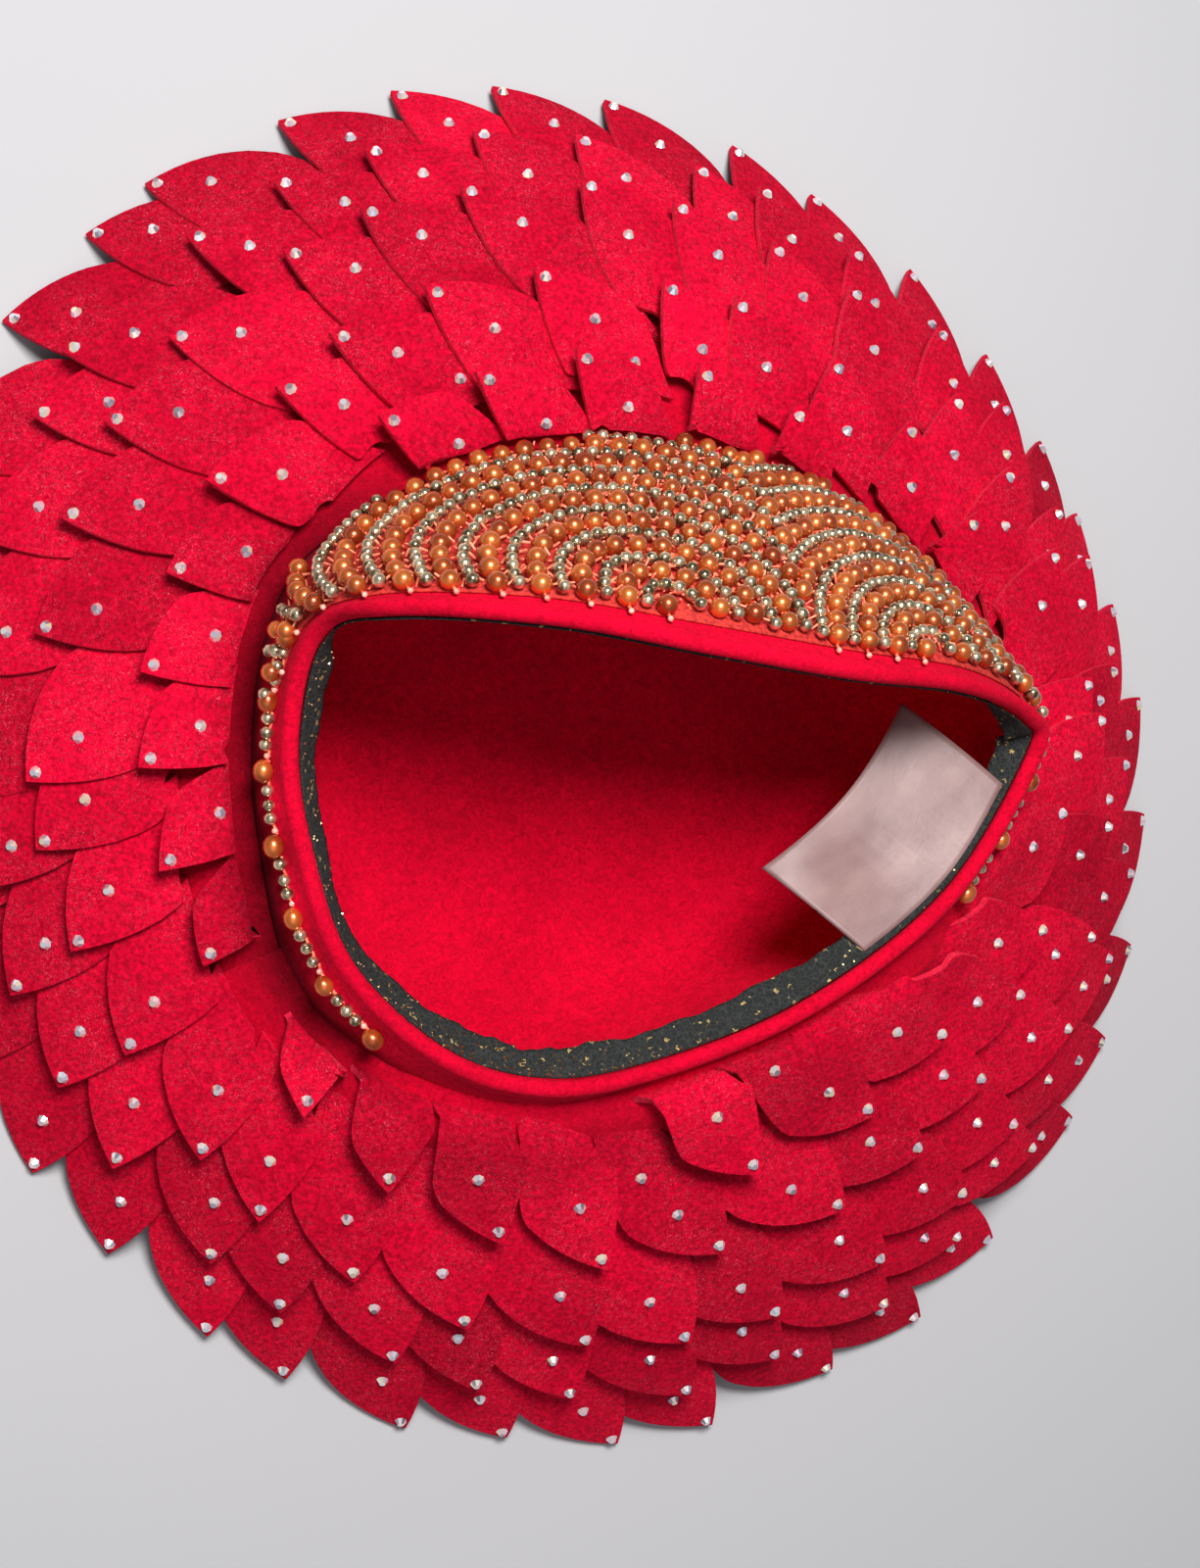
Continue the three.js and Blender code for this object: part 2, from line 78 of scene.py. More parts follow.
def domePoint(arc, turn, lift):  # on the brim: along the felt, round the axis, above it
    angle = arc / brim["radius"]
    across = (brim["radius"] + lift) * math.sin(angle) * planFactor(turn)
    height = (brim["radius"] + lift) * math.cos(angle) + brim["height"] - brim["radius"]
    return Vector((across * math.cos(turn), across * math.sin(turn), height))


def domeArc(x, y):
    share = math.hypot(x, y) / (brim["radius"] * planFactor(math.atan2(y, x)))
    return brim["radius"] * math.asin(share)


crown = {
    "length": 218 * mm,
    "width": 172 * mm,
    "depth": 133 * mm,
    "felt": 2.4 * mm,
    "lipRoll": 4.6 * mm,
    "bow": 0.04,
    "tipLength": 124 * mm,
    "tipWidth": 92 * mm,
    "tipX": 0 * mm,
    "tipY": -4 * mm,
    "squareness": 2.5,
    "fold": 1.6 * mm,  # depth of the soft folds outside
    "foldFrom": 0.47, "foldTo": 0.7, "foldFade": 0.05,  # shares of the way round
    "foldTurns": 130,
    "crease": 24 * mm,  # how far the painted shade of the crease reaches
    "creaseElsewhere": 0.45,  # depth of that painted shade off the left side
    "creaseFrom": 118, "creaseTo": 250, "creaseFade": 25,  # degrees round the axis
    "sides": 210,
}
# lipX, lipY, lipZ, footX, footY as shares of length, width and depth, then the beaded share
wallStations = [
    (0.489, 0.019, 0.645, 0.502, 0.013, 0.0),
    (0.456, 0.082, 0.719, 0.484, 0.142, 0.25),
    (0.328, 0.122, 0.852, 0.383, 0.322, 1.0),
    (0.159, 0.137, 0.941, 0.191, 0.456, 1.0),
    (-0.029, 0.167, 1.0, -0.029, 0.491, 1.0),
    (-0.213, 0.204, 0.985, -0.231, 0.444, 1.0),
    (-0.381, 0.218, 0.857, -0.392, 0.322, 0.9),
    (-0.437, 0.187, 0.685, -0.448, 0.194, 0.4),
    (-0.451, 0.045, 0.581, -0.465, 0.045, 0.0),
    (-0.435, -0.105, 0.557, -0.457, -0.112, 0.0),
    (-0.382, -0.291, 0.547, -0.413, -0.316, 0.0),
    (-0.276, -0.424, 0.562, -0.297, -0.462, 0.0),
    (-0.162, -0.479, 0.586, -0.167, -0.52, 0.0),
    (-0.031, -0.466, 0.611, -0.026, -0.494, 0.0),
    (0.181, -0.373, 0.626, 0.189, -0.394, 0.0),
    (0.378, -0.204, 0.621, 0.391, -0.221, 0.0),
]
lipPoints = [Vector((row[0] * crown["length"], row[1] * crown["width"], row[2] * crown["depth"]))
             for row in wallStations]
footPoints = []
for row in wallStations:
    footX, footY = row[3] * crown["length"], row[4] * crown["width"]
    footPoints.append(domePoint(domeArc(footX, footY), math.atan2(footY, footX), 0))


def alongLoop(points, share):  # a smooth closed curve through the points
    place = (share % 1) * len(points)
    before = math.floor(place)
    t = place - before
    p0, p1, p2, p3 = (points[(before + step) % len(points)] for step in (-1, 0, 1, 2))
    leave, arrive = (p2 - p0) / 2, (p3 - p1) / 2
    return (p1 + leave * t + (3 * (p2 - p1) - 2 * leave - arrive) * t ** 2
            + (2 * (p1 - p2) + leave + arrive) * t ** 3)


def wallFrame(share):
    lip, foot = alongLoop(lipPoints, share), alongLoop(footPoints, share)
    ahead, behind = [
        (alongLoop(lipPoints, share + step) + alongLoop(footPoints, share + step)) / 2
        for step in (0.006, -0.006)]
    along = (ahead - behind).normalized()
    down = (foot - lip).normalized()
    return {"lip": lip, "foot": foot, "down": down, "along": along,
            "out": down.cross(along).normalized(), "length": (foot - lip).length}


def wallPoint(spot, distance, offset):  # down from the lip, and out from the felt's middle
    bow = crown["bow"] * spot["length"] * math.sin(math.pi * distance / spot["length"])
    return spot["lip"] + spot["down"] * distance + spot["out"] * (bow + offset)


def blockPoint(spot, share, inset):  # below the brim: 0 at the foot, 1 at the tip's edge
    angle = share * math.pi / 2
    wide = math.cos(angle) ** (2 / crown["squareness"])
    low = math.sin(angle) ** (2 / crown["squareness"])
    outer = spot["foot"] + spot["out"] * crown["felt"] / 2
    turn = math.atan2(outer.y / crown["width"], outer.x / crown["length"])
    tip = Vector((crown["tipX"] + crown["tipLength"] / 2 * math.cos(turn),
                  crown["tipY"] + crown["tipWidth"] / 2 * math.sin(turn), 0))
    way = Vector((outer.x - tip.x, outer.y - tip.y, 0))
    span = way.length
    point = tip + way.normalized() * (span * wide - inset * math.cos(angle))
    point.z = outer.z * (1 - low) + inset * math.sin(angle)
    return point


wallSpots = [wallFrame(side / crown["sides"]) for side in range(crown["sides"])]
footRing = []
for spot in wallSpots:
    outer = spot["foot"] + spot["out"] * crown["felt"] / 2
    footRing.append((math.atan2(outer.y, outer.x) % math.tau, math.hypot(outer.x, outer.y),
                     domeArc(outer.x, outer.y)))
footByTurn = sorted(footRing)
footTurns = [entry[0] for entry in footByTurn]


def footArc(turn):
    after = bisect(footTurns, turn % math.tau) % len(footByTurn)
    low, high = footByTurn[after - 1], footByTurn[after]
    share = ((turn - low[0]) % math.tau) / ((high[0] - low[0]) % math.tau)
    return mix(low[2], high[2], share)


def sheet(columns, rows, place, closed=False, shape=None):  # a grid laid out corner by corner
    shape = shape or bmesh.new()
    if not shape.loops.layers.uv:
        shape.loops.layers.uv.new("UVMap")
    made = bmesh.ops.create_grid(shape, x_segments=columns, y_segments=rows, size=1, calc_uvs=True)
    for corner in made["verts"]:
        column = round((corner.co.x + 1) / 2 * columns)
        row = round((corner.co.y + 1) / 2 * rows)
        corner.co = place(column, row)
    if closed:
        bmesh.ops.remove_doubles(shape, verts=made["verts"], dist=0.01 * mm)
    return shape


def addObject(name, data):
    made = bpy.data.objects.new(name, data)
    bpy.context.scene.collection.objects.link(made)
    return made


def meshObject(shape, name, materials):
    mesh = bpy.data.meshes.new(name)
    shape.to_mesh(mesh)
    shape.free()
    for material in materials:
        mesh.materials.append(material)
    return addObject(name, mesh)


def addPiece(shape, name, materials, replaced=(), outward=True, soft=True):
    if outward:
        bmesh.ops.recalc_face_normals(shape, faces=shape.faces)
    piece = meshObject(shape, name, materials)
    if soft:
        piece.data.shade_smooth()
    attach(piece, "root")
    if replaced:
        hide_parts(*replaced)
    return piece


def thicken(piece, thickness, offset=0):  # gives a sheet its wall, downwards at an offset of -1
    thick = piece.modifiers.new("thickness", "SOLIDIFY")
    thick.thickness = thickness
    thick.offset = offset
    return thick


def softenEdges(piece, name, width):
    rounded = piece.modifiers.new(name, "BEVEL")
    rounded.width = width
    rounded.segments = 2
    rounded.angle_limit = math.radians(50)
    return rounded


def feed(tree, node, **inputs):  # links or sets inputs, by name or as i0, i1 and so on
    for key, value in inputs.items():
        socket = node.inputs[int(key[1:]) if key[1:].isdigit() else key.replace("_", " ")]
        if isinstance(value, bpy.types.NodeSocket):
            tree.links.new(value, socket)
        else:
            socket.default_value = value
    return node


def newMaterial(name, **settings):
    material = bpy.data.materials.new(name)
    material.use_nodes = True
    tree = material.node_tree
    return material, tree, feed(tree, tree.nodes["Principled BSDF"], **settings)


def addNode(tree, kind, settings=None, **inputs):
    node = tree.nodes.new(kind)
    for key, value in (settings or {}).items():
        setattr(node, key, value)
    return feed(tree, node, **inputs)


def objectPlace(tree):
    return addNode(tree, "ShaderNodeTexCoord").outputs["Object"]


def noise(tree, place, scale, **more):
    return addNode(tree, "ShaderNodeTexNoise", i0=place, Scale=scale, **more).outputs["Fac"]


def maths(tree, operation, *values):
    inputs = {"i" + str(number): value for number, value in enumerate(values)}
    return addNode(tree, "ShaderNodeMath", {"operation": operation}, **inputs).outputs[0]


def blend(tree, share, low, high, kind="MIX"):
    return addNode(tree, "ShaderNodeMix", {"data_type": "RGBA", "blend_type": kind}, Factor=share, i6=low,
                   i7=high).outputs[2]


def spread(tree, value, low, high):
    return addNode(tree, "ShaderNodeMapRange", Value=value, i3=low, i4=high).outputs[0]


def bump(tree, height, strength, distance):
    relief = addNode(tree, "ShaderNodeBump", Strength=strength, Distance=distance, Height=height)
    return relief.outputs["Normal"]


def ramp(tree, factor, stops):
    node = tree.nodes.new("ShaderNodeValToRGB")
    while len(node.color_ramp.elements) < len(stops):
        node.color_ramp.elements.new(0.5)
    for element, (place, color) in zip(node.color_ramp.elements, stops):
        element.position = place
        element.color = color
    return feed(tree, node, i0=factor).outputs[0]


def greys(tree, factor, *stops):
    return ramp(tree, factor, [(place, (grey, grey, grey, 1)) for place, grey in stops])


# Felt: a mat of short fibres with a pebbled mottle, lighter lint in patches and soft cloudy shade
def buildFeltGroup():
    group = bpy.data.node_groups.new("woolFelt", "ShaderNodeTree")
    for name, kind in [("Color", "NodeSocketColor"), ("Lint Color", "NodeSocketColor"),
                       ("Lint Amount", "NodeSocketFloat"), ("Fibre Scale", "NodeSocketFloat"),
                       ("Mottle", "NodeSocketFloat")]:
        group.interface.new_socket(name, in_out="INPUT", socket_type=kind)
    for name, kind in [("Color", "NodeSocketColor"), ("Roughness", "NodeSocketFloat"),
                       ("Height", "NodeSocketFloat")]:
        group.interface.new_socket(name, in_out="OUTPUT", socket_type=kind)
    start = group.nodes.new("NodeGroupInput")
    end = group.nodes.new("NodeGroupOutput")
    place = objectPlace(group)
    fibres = noise(group, place, start.outputs["Fibre Scale"], Detail=6.0, Roughness=0.7, Distortion=1.6)
    clouds = noise(group, place, 36.0, Detail=3.0, Roughness=0.55)
    patches = noise(group, place, 52.0, Detail=4.0, Roughness=0.6)
    pebble = noise(group, place, 780.0, Detail=1.5, Roughness=0.5)
    lint = noise(group, place, 1250.0, Detail=3.0, Roughness=0.62, Distortion=2.2)
    base = blend(group, 1.0, start.outputs["Color"], greys(group, clouds, (0.3, 0.86), (0.7, 1.06)),
                 "MULTIPLY")
    base = blend(group, 1.0, base, greys(group, fibres, (0.34, 0.62), (0.68, 1.25)), "MULTIPLY")
    base = blend(group, start.outputs["Mottle"], base, greys(group, pebble, (0.36, 0.74), (0.62, 1.14)),
                 "MULTIPLY")
    strands = greys(group, lint, (0.56, 0), (0.66, 1))
    lintHere = maths(group, "MULTIPLY", strands, greys(group, patches, (0.4, 0.12), (0.6, 1)))
    amount = maths(group, "MULTIPLY", lintHere, start.outputs["Lint Amount"])
    height = maths(group, "MULTIPLY_ADD", pebble, 1.6, maths(group, "ADD", fibres, strands))
    feed(group, end, Color=blend(group, amount, base, start.outputs["Lint Color"]),
         Roughness=spread(group, fibres, 0.8, 1.0), Height=height)
    return group


feltGroup = buildFeltGroup()
feltLooks = {
    "crown": {"color": (0.62, 0.001, 0.023), "lint": (0.8, 0.02, 0.06), "lintAmount": 0.25, "fibre": 460.0,
              "relief": 0.1 * mm, "mottle": 0.15},
    "petal": {"color": (0.61, 0.001, 0.026), "lint": (1.0, 0.11, 0.17), "lintAmount": 0.62, "fibre": 560.0,
              "relief": 0.3 * mm, "mottle": 1.0},
    # the cut edges are lighter: partly the felt's own cut face, partly a painted highlight of light catching
    # the edges
    "cut": {"color": (0.75, 0.015, 0.055), "lint": (1.0, 0.2, 0.24), "lintAmount": 0.5, "fibre": 800.0,
            "relief": 0.2 * mm, "mottle": 0.6},
}


def feltMaterial(name, look, tonedAndShaded=False):
    material, tree, shader = newMaterial(name, Sheen_Weight=0.08, Sheen_Roughness=0.5,
                                         Sheen_Tint=(1, 0.1, 0.18, 1), Specular_IOR_Level=0.04)
    color = (*look["color"], 1)
    if tonedAndShaded:  # each petal is cut from felt of its own tone, and the tone attribute also carries painted shade that darkens the felt in the crease
        tone = addNode(tree, "ShaderNodeAttribute", {"attribute_name": "tone"}).outputs["Fac"]
        color = ramp(tree, tone, [(share, [min(part * strength, 1) for part in look["color"]] + [1])
                                  for share, strength in ((0, 0.22), (0.3, 0.74), (1, 1.14))])
    felt = addNode(tree, "ShaderNodeGroup", {"node_tree": feltGroup}, Color=color,
                   Lint_Color=(*look["lint"], 1), Lint_Amount=look["lintAmount"],
                   Fibre_Scale=look["fibre"], Mottle=look["mottle"])
    feed(tree, shader, Base_Color=felt.outputs["Color"], Roughness=felt.outputs["Roughness"],
         Normal=bump(tree, felt.outputs["Height"], 0.6, look["relief"]))
    return material


crownFelt = feltMaterial("crownFelt", feltLooks["crown"], tonedAndShaded=True)
petalFelt = feltMaterial("petalFelt", feltLooks["petal"], tonedAndShaded=True)
cutFeltAndHighlight = feltMaterial("cutFeltAndHighlight", feltLooks["cut"])
print("felt mixed")


def ripple(side):  # soft folds in the outer face, on the side away from the beadwork's middle
    share = side / crown["sides"]
    inFolds = (smooth((share - crown["foldFrom"]) / crown["foldFade"])
               * smooth((crown["foldTo"] - share) / crown["foldFade"]))
    return inFolds * crown["fold"] * (0.5 + 0.5 * math.sin(share * crown["foldTurns"]))


def crease(turn, fromWall):  # painted shade in the crease: 0 in the open, 1 deep between the wall and the petals
    degrees = math.degrees(turn) % 360
    leftSide = (smooth((degrees - crown["creaseFrom"]) / crown["creaseFade"])
                * smooth((crown["creaseTo"] - degrees) / crown["creaseFade"]))
    return smooth(1 - fromWall / crown["crease"]) * mix(crown["creaseElsewhere"], 1, leftSide)


def innerAcross(turn):  # the felt's inner face at the crown's foot
    foot = domePoint(footArc(turn), turn, 0)
    return math.hypot(foot.x, foot.y) - crown["felt"]


def crownPiece():
    rings = [[blockPoint(spot, step / 10, 0) for spot in wallSpots] for step in range(10, -1, -1)]
    for share in (0.85, 0.7, 0.5, 0.3):
        rings.append([wallPoint(spot, spot["length"] * share,
                                crown["felt"] / 2 + ripple(side) * math.sin(math.pi * share))
                      for side, spot in enumerate(wallSpots)])
    rings.append([wallPoint(spot, crown["lipRoll"], crown["felt"] / 2) for spot in wallSpots])
    for step in range(9):
        angle = math.pi * step / 8
        rings.append([spot["lip"] + spot["out"] * crown["lipRoll"] / 2 * math.cos(angle)
                      - spot["down"] * crown["lipRoll"] / 2 * math.sin(angle) for spot in wallSpots])
    rings.append([wallPoint(spot, crown["lipRoll"], -crown["felt"] / 2) for spot in wallSpots])
    for share in (0.3, 0.5, 0.7, 0.85):
        rings.append([wallPoint(spot, spot["length"] * share, -crown["felt"] / 2) for spot in wallSpots])
    for step in range(11):
        rings.append([blockPoint(spot, step / 10, crown["felt"]) for spot in wallSpots])
    shape = sheet(crown["sides"], len(rings) - 1,
                  lambda column, row: rings[row][column % crown["sides"]], closed=True)
    rims = [edge for edge in shape.edges if edge.is_boundary]
    bmesh.ops.holes_fill(shape, edges=rims, sides=0)
    # the tone layer holds painted shade: the crown's outer face darkens towards the crease at the brim
    tone = shape.verts.layers.float.new("tone")
    for corner in shape.verts:
        turn = math.atan2(corner.co.y, corner.co.x)
        outside = math.hypot(corner.co.x, corner.co.y) > innerAcross(turn)
        above = corner.co.z - domePoint(footArc(turn), turn, 0).z
        corner[tone] = 0.8 - 0.8 * crease(turn, abs(above)) * outside
    addPiece(shape, "crownFelt", [crownFelt], ["crown"])


def brimPiece():
    rows = brim["rows"]
    edge = brim["reach"] - brim["overhang"]

    def place(column, row):
        turn, across, _ = footRing[column % crown["sides"]]
        under = row > rows and row < 2 * rows + 2
        inward = (2 * rows + 1 - row if under else row % (2 * rows + 2)) / rows
        lift = -brim["felt"] if under else 0
        inner = brim["radius"] * math.asin((across + brim["gap"])
                                           / ((brim["radius"] + lift) * planFactor(turn)))
        return domePoint(mix(edge, inner, inward), turn, lift)

    shape = sheet(crown["sides"], 2 * rows + 2, place, closed=True)
    # the tone layer holds painted shade: the brim darkens towards the crease by the wall
    tone = shape.verts.layers.float.new("tone")
    for corner in shape.verts:
        turn = math.atan2(corner.co.y, corner.co.x)
        corner[tone] = 0.6 - 0.6 * crease(turn, domeArc(corner.co.x, corner.co.y) - footArc(turn))
    piece = addPiece(shape, "brimFelt", [crownFelt], ["brim"])
    softenEdges(piece, "roundedEdge", brim["rounding"])


crownPiece()
brimPiece()
print("crown and brim made")


petal = {
    "length": 58 * mm,
    "width": 31 * mm,
    "swirl": math.radians(45),
    "felt": 2 * mm,
    "lift": 10 * mm,
    "liftCurve": 0.9,
    "seat": 1.5 * mm,
    "seatDrop": 0.8 * mm,  # how far the felt behind the root line sinks
    "underCove": 1.1 * mm,  # how far it lies under the cove on the plain side
    "inmostSeat": 3 * mm,
    "wallGap": 0.6 * mm,
    "widest": 0.6,  # from the tip, as a share of the length
    "taper": 0.4,
    "turnJitter": 0.12,
    "swirlJitter": math.radians(4),
    "tipJitter": 1.6 * mm,
    "widthJitter": 0.05,
    "shortest": 10.5 * mm,
    "shortestPlain": 15 * mm,  # the plain side has no shorter ones
    "tuck": 12 * mm,  # how far a root runs on under the cove of the plain side
    "tuckEnd": 0.3,  # share of the petal's length where the tuck is used up
    "sinkShare": 0.7,  # share of the tuck over which the root sinks
    "rootEnd": 0.45,  # share of the length where the root has widened into the leaf
    "edgeWave": 0.012, "edgeWaves": 900,
    "rootShare": 0.44,
    "collar": 2.6 * mm,
    "rootMargin": 2.4 * mm,
    "rowStep": 14 * mm,
    "strip": 6.7 * mm,
    "climb": 9.5 * mm,  # how far up the wall the roots are glued on the plain side
    "climbIn": 4.5 * mm,
    "climbReach": 16 * mm,
    "climbFrom": 216, "climbTo": 370, "climbFade": 26,  # degrees round the axis
    "crowning": 0.7 * mm,  # rise of a petal's middle over its edges
    "curl": 1.2 * mm,  # unevenness of the tips' height
    "rounding": 0.35 * mm,
    "columns": 18,
    "rows": 8,
}
petalRows = [  # tips as a share of the reach, petals in a full round, turn of the first root
    ("petal_row_1", 1.0, 36, 2.0),
    ("petal_row_2", 0.89, 36, 6.5),
    ("petal_row_3", 0.782, 33, 1.0),
    ("petal_row_4", 0.638, 30, 4.0),
    ("petal_row_5", 0.519, 25, 3.0),
]


def rootClearance(row):
    if row == len(petalRows) - 1:
        return brim["gap"] + petal["collar"] / 4
    return brim["gap"] + petal["collar"] + petal["rootMargin"]


def rootArc(row, turn):
    wall = footArc(turn)
    if row == len(petalRows) - 1:
        return wall + rootClearance(row)
    full = petalRows[row][1] * brim["reach"] - petal["length"] * math.cos(petal["swirl"])
    inside = rootArc(row + 1, turn)
    step = min(inside + petal["rowStep"], petalRows[row + 1][1] * brim["reach"] - 1 * mm)
    strip = inside + petal["strip"] if row + 2 < len(petalRows) else 0
    return max(full, wall + rootClearance(row), step, strip)


def leafHalf(distance):
    share, widest = distance / petal["length"], petal["widest"]
    if share < widest:
        return petal["width"] / 2 * (1 - ((widest - share) / widest) ** 2)
    return petal["width"] / 2 * (1 - petal["taper"] * ((share - widest) / (1 - widest)) ** 2)


def climbShare(turn):  # none on the beaded side, full on the plain side
    degrees = math.degrees(turn) % 360
    return (smooth((degrees - petal["climbFrom"]) / petal["climbFade"])
            * smooth((petal["climbTo"] - degrees) / petal["climbFade"]))


def climbAt(turn, arc):  # how far felt at this place follows the wall up, as a share
    return climbShare(turn) * math.exp(-((arc - footArc(turn)) / petal["climbReach"]) ** 2)


def petalsOf(row):
    _, tipShare, count, first = petalRows[row]
    petals = []
    for index in range(count):
        seed = 100 * (row + 1) + index
        step = math.tau / count
        turn = math.radians(first) + (index + petal["turnJitter"] * wobble(seed)) * step
        root = rootArc(row, turn)
        swirl = petal["swirl"] + petal["swirlJitter"] * wobble(seed + 0.3)
        tip = tipShare * brim["reach"] + petal["tipJitter"] * wobble(seed + 0.6)
        reach = tip - root
        tipTurn = turn + reach * math.tan(swirl) / (brim["radius"] * math.sin(tip / brim["radius"]))
        room = min(reach, tip - footArc(tipTurn) - rootClearance(row))
        if room < mix(petal["shortest"], petal["shortestPlain"], climbShare(turn)):
            continue
        spacing = brim["radius"] * math.sin(root / brim["radius"]) * step
        petals.append({
            "seed": seed, "turn": turn, "root": root, "swirl": swirl, "spacing": spacing, "reach": reach,
            "length": reach / math.cos(swirl),
            "widen": 1 + petal["widthJitter"] * wobble(seed + 0.9),
            "lap": (petal["felt"] + brim["gap"]) / spacing,
            "clearance": rootClearance(row),
            "seat": petal["inmostSeat"] if row == len(petalRows) - 1 else petal["seat"],
        })
    return petals


def petalPoint(leaf, outward, sideways, above):
    free = leaf["root"] + outward
    turn = leaf["turn"] + sideways / (brim["radius"] * math.sin(free / brim["radius"]))
    wall = footArc(turn)
    arc = max(free, wall + mix(leaf["clearance"], petal["wallGap"], climbShare(turn)))
    rise = petal["lift"] * (max(outward, 0) / leaf["reach"]) ** petal["liftCurve"]
    buried = leaf["seat"] + petal["felt"] + petal["underCove"]
    sunk = smooth(-outward / petal["tuck"] / petal["sinkShare"])
    rise -= mix(petal["seatDrop"], buried, climbShare(turn)) * sunk
    climbed = climbAt(turn, arc)
    return domePoint(arc - petal["climbIn"] * climbed, turn,
                     leaf["seat"] + rise + petal["climb"] * climbed + leaf["lap"] * sideways + above)


def bulge(leaf, share, side):  # the middle stands a little proud, and no two tips curl alike
    return (petal["crowning"] * (1 - side * side) * math.sin(math.pi * min(share + 0.15, 1))
            + petal["curl"] * wobble(leaf["seed"] + 0.8) * share ** 3)


def onPetal(leaf, fromTip, side, above):  # a place on a petal, measured back from its tip
    along = leaf["length"] - fromTip
    across = side * leafHalf(fromTip) * leaf["widen"]
    cos, sin = math.cos(leaf["swirl"]), math.sin(leaf["swirl"])
    return petalPoint(leaf, along * cos - across * sin, along * sin + across * cos,
                      above + bulge(leaf, along / leaf["length"], side))


def petalRow(row):
    shape = bmesh.new()
    tone = shape.verts.layers.float.new("tone")
    for leaf in petalsOf(row):
        cos, sin = math.cos(leaf["swirl"]), math.sin(leaf["swirl"])
        rootHalf = min(leafHalf(leaf["length"]) / cos, petal["rootShare"] * leaf["spacing"])

        def place(column, rung):
            share = column / petal["columns"]
            side = rung / petal["rows"] * 2 - 1
            along = share * leaf["length"]
            turned = smooth(share / petal["rootEnd"])
            half = mix(rootHalf, leafHalf(leaf["length"] - along) * leaf["widen"], turned)
            waved = math.sin(along * petal["edgeWaves"] + leaf["seed"])
            half *= 1 + petal["edgeWave"] * waved * (1 - share)
            tucked = petal["tuck"] * climbShare(leaf["turn"]) * (1 - smooth(share / petal["tuckEnd"]))
            outward = along * cos - side * half * sin * turned - tucked
            sideways = along * sin + side * half * mix(1, cos, turned) - tucked * sin
            return petalPoint(leaf, outward, sideways, petal["felt"] + bulge(leaf, share, side))

        before = len(shape.verts)
        sheet(petal["columns"], petal["rows"], place, shape=shape)
        shape.verts.ensure_lookup_table()
        # each petal's own tone, darkened by painted shade towards the crease where the roots do not climb
        # the wall
        ownTone = 0.65 + 0.35 * wobble(leaf["seed"] + 0.45)
        for corner in shape.verts[before:]:
            turn = math.atan2(corner.co.y, corner.co.x)
            fromWall = domeArc(corner.co.x, corner.co.y) - footArc(turn)
            corner[tone] = ownTone * (1 - 0.9 * crease(turn, max(fromWall, 0)) * (1 - climbShare(turn)))
    bmesh.ops.remove_doubles(shape, verts=shape.verts, dist=0.01 * mm)
    piece = addPiece(shape, "petals" + str(row + 1), [petalFelt, cutFeltAndHighlight],
                     [petalRows[row][0]], outward=False)
    thicken(piece, petal["felt"], -1).material_offset_rim = 1
    softenEdges(piece, "cutEdge", petal["rounding"]).harden_normals = True


cove = {
    "first": math.radians(206), "last": math.radians(378),
    "spread": 30 * mm,
    "fromWall": 0.5 * mm,
    "atWall": 1.3 * mm,  # above the petals' climb
    "height": 0.9 * mm,  # above the brim near the wall
    "atPetals": 0.3 * mm,
    "overClimb": 0.4 * mm,
    "inWall": 0.5 * mm,
    "wallShare": 0.35,  # share of the spread that bends to meet the wall
    "felt": 0.8 * mm,
    "rows": 14,
}


def covePiece():  # felt that runs smoothly from the wall down to the petals' roots
    spots = []
    for spot, foot in zip(wallSpots, footRing):
        turn = foot[0] + math.tau * (foot[0] < cove["first"])
        if turn < cove["last"]:
            spots.append((turn, foot[2], spot))
    spots.sort(key=lambda entry: entry[0])

    def onBrim(turn, foot, share):
        arc = foot + cove["fromWall"] + cove["spread"] * share
        climbed = climbAt(turn, arc)
        above = (mix(cove["height"], cove["atPetals"], smooth(share / 0.9))
                 + (petal["climb"] + cove["overClimb"]) * climbed)
        return domePoint(arc - petal["climbIn"] * climbed, turn, above)

    def place(column, row):
        turn, foot, spot = spots[column]
        up = (petal["climb"] + cove["atWall"]) * climbShare(turn)
        onWall = wallPoint(spot, spot["length"] - up, crown["felt"] / 2 - cove["inWall"])
        share = row / cove["rows"]
        bend = 1 - smooth(share / cove["wallShare"])
        return onBrim(turn, foot, share) + (onWall - onBrim(turn, foot, 0)) * bend

    shape = sheet(len(spots) - 1, cove["rows"], place)
    # the tone layer holds painted shade: the cove darkens towards the crease where the petals do not climb
    tone = shape.verts.layers.float.new("tone")
    for corner in shape.verts:
        turn = math.atan2(corner.co.y, corner.co.x)
        fromWall = max(domeArc(corner.co.x, corner.co.y) - footArc(turn), 0)
        corner[tone] = 0.75 - 0.75 * crease(turn, fromWall) * (1 - climbShare(turn))
    thicken(addPiece(shape, "plainSideCove", [crownFelt], outward=False), cove["felt"], -1)


for row in range(len(petalRows)):
    petalRow(row)
    print("petals of row", row + 1)
covePiece()
print("cove of the plain side")


crystal = {
    "radius": 1.75 * mm,
    "height": 1.3 * mm,
    "fromTip": 3.6 * mm,
    "middle": 19 * mm,
    "inner": 36 * mm,  # a third stone, on the petals that show far enough in
    "rootMargin": 3 * mm,
}
stoneGlass, tree, shader = newMaterial("stoneGlass", Metallic=0.6, Roughness=0.14, Coat_Weight=0.7)
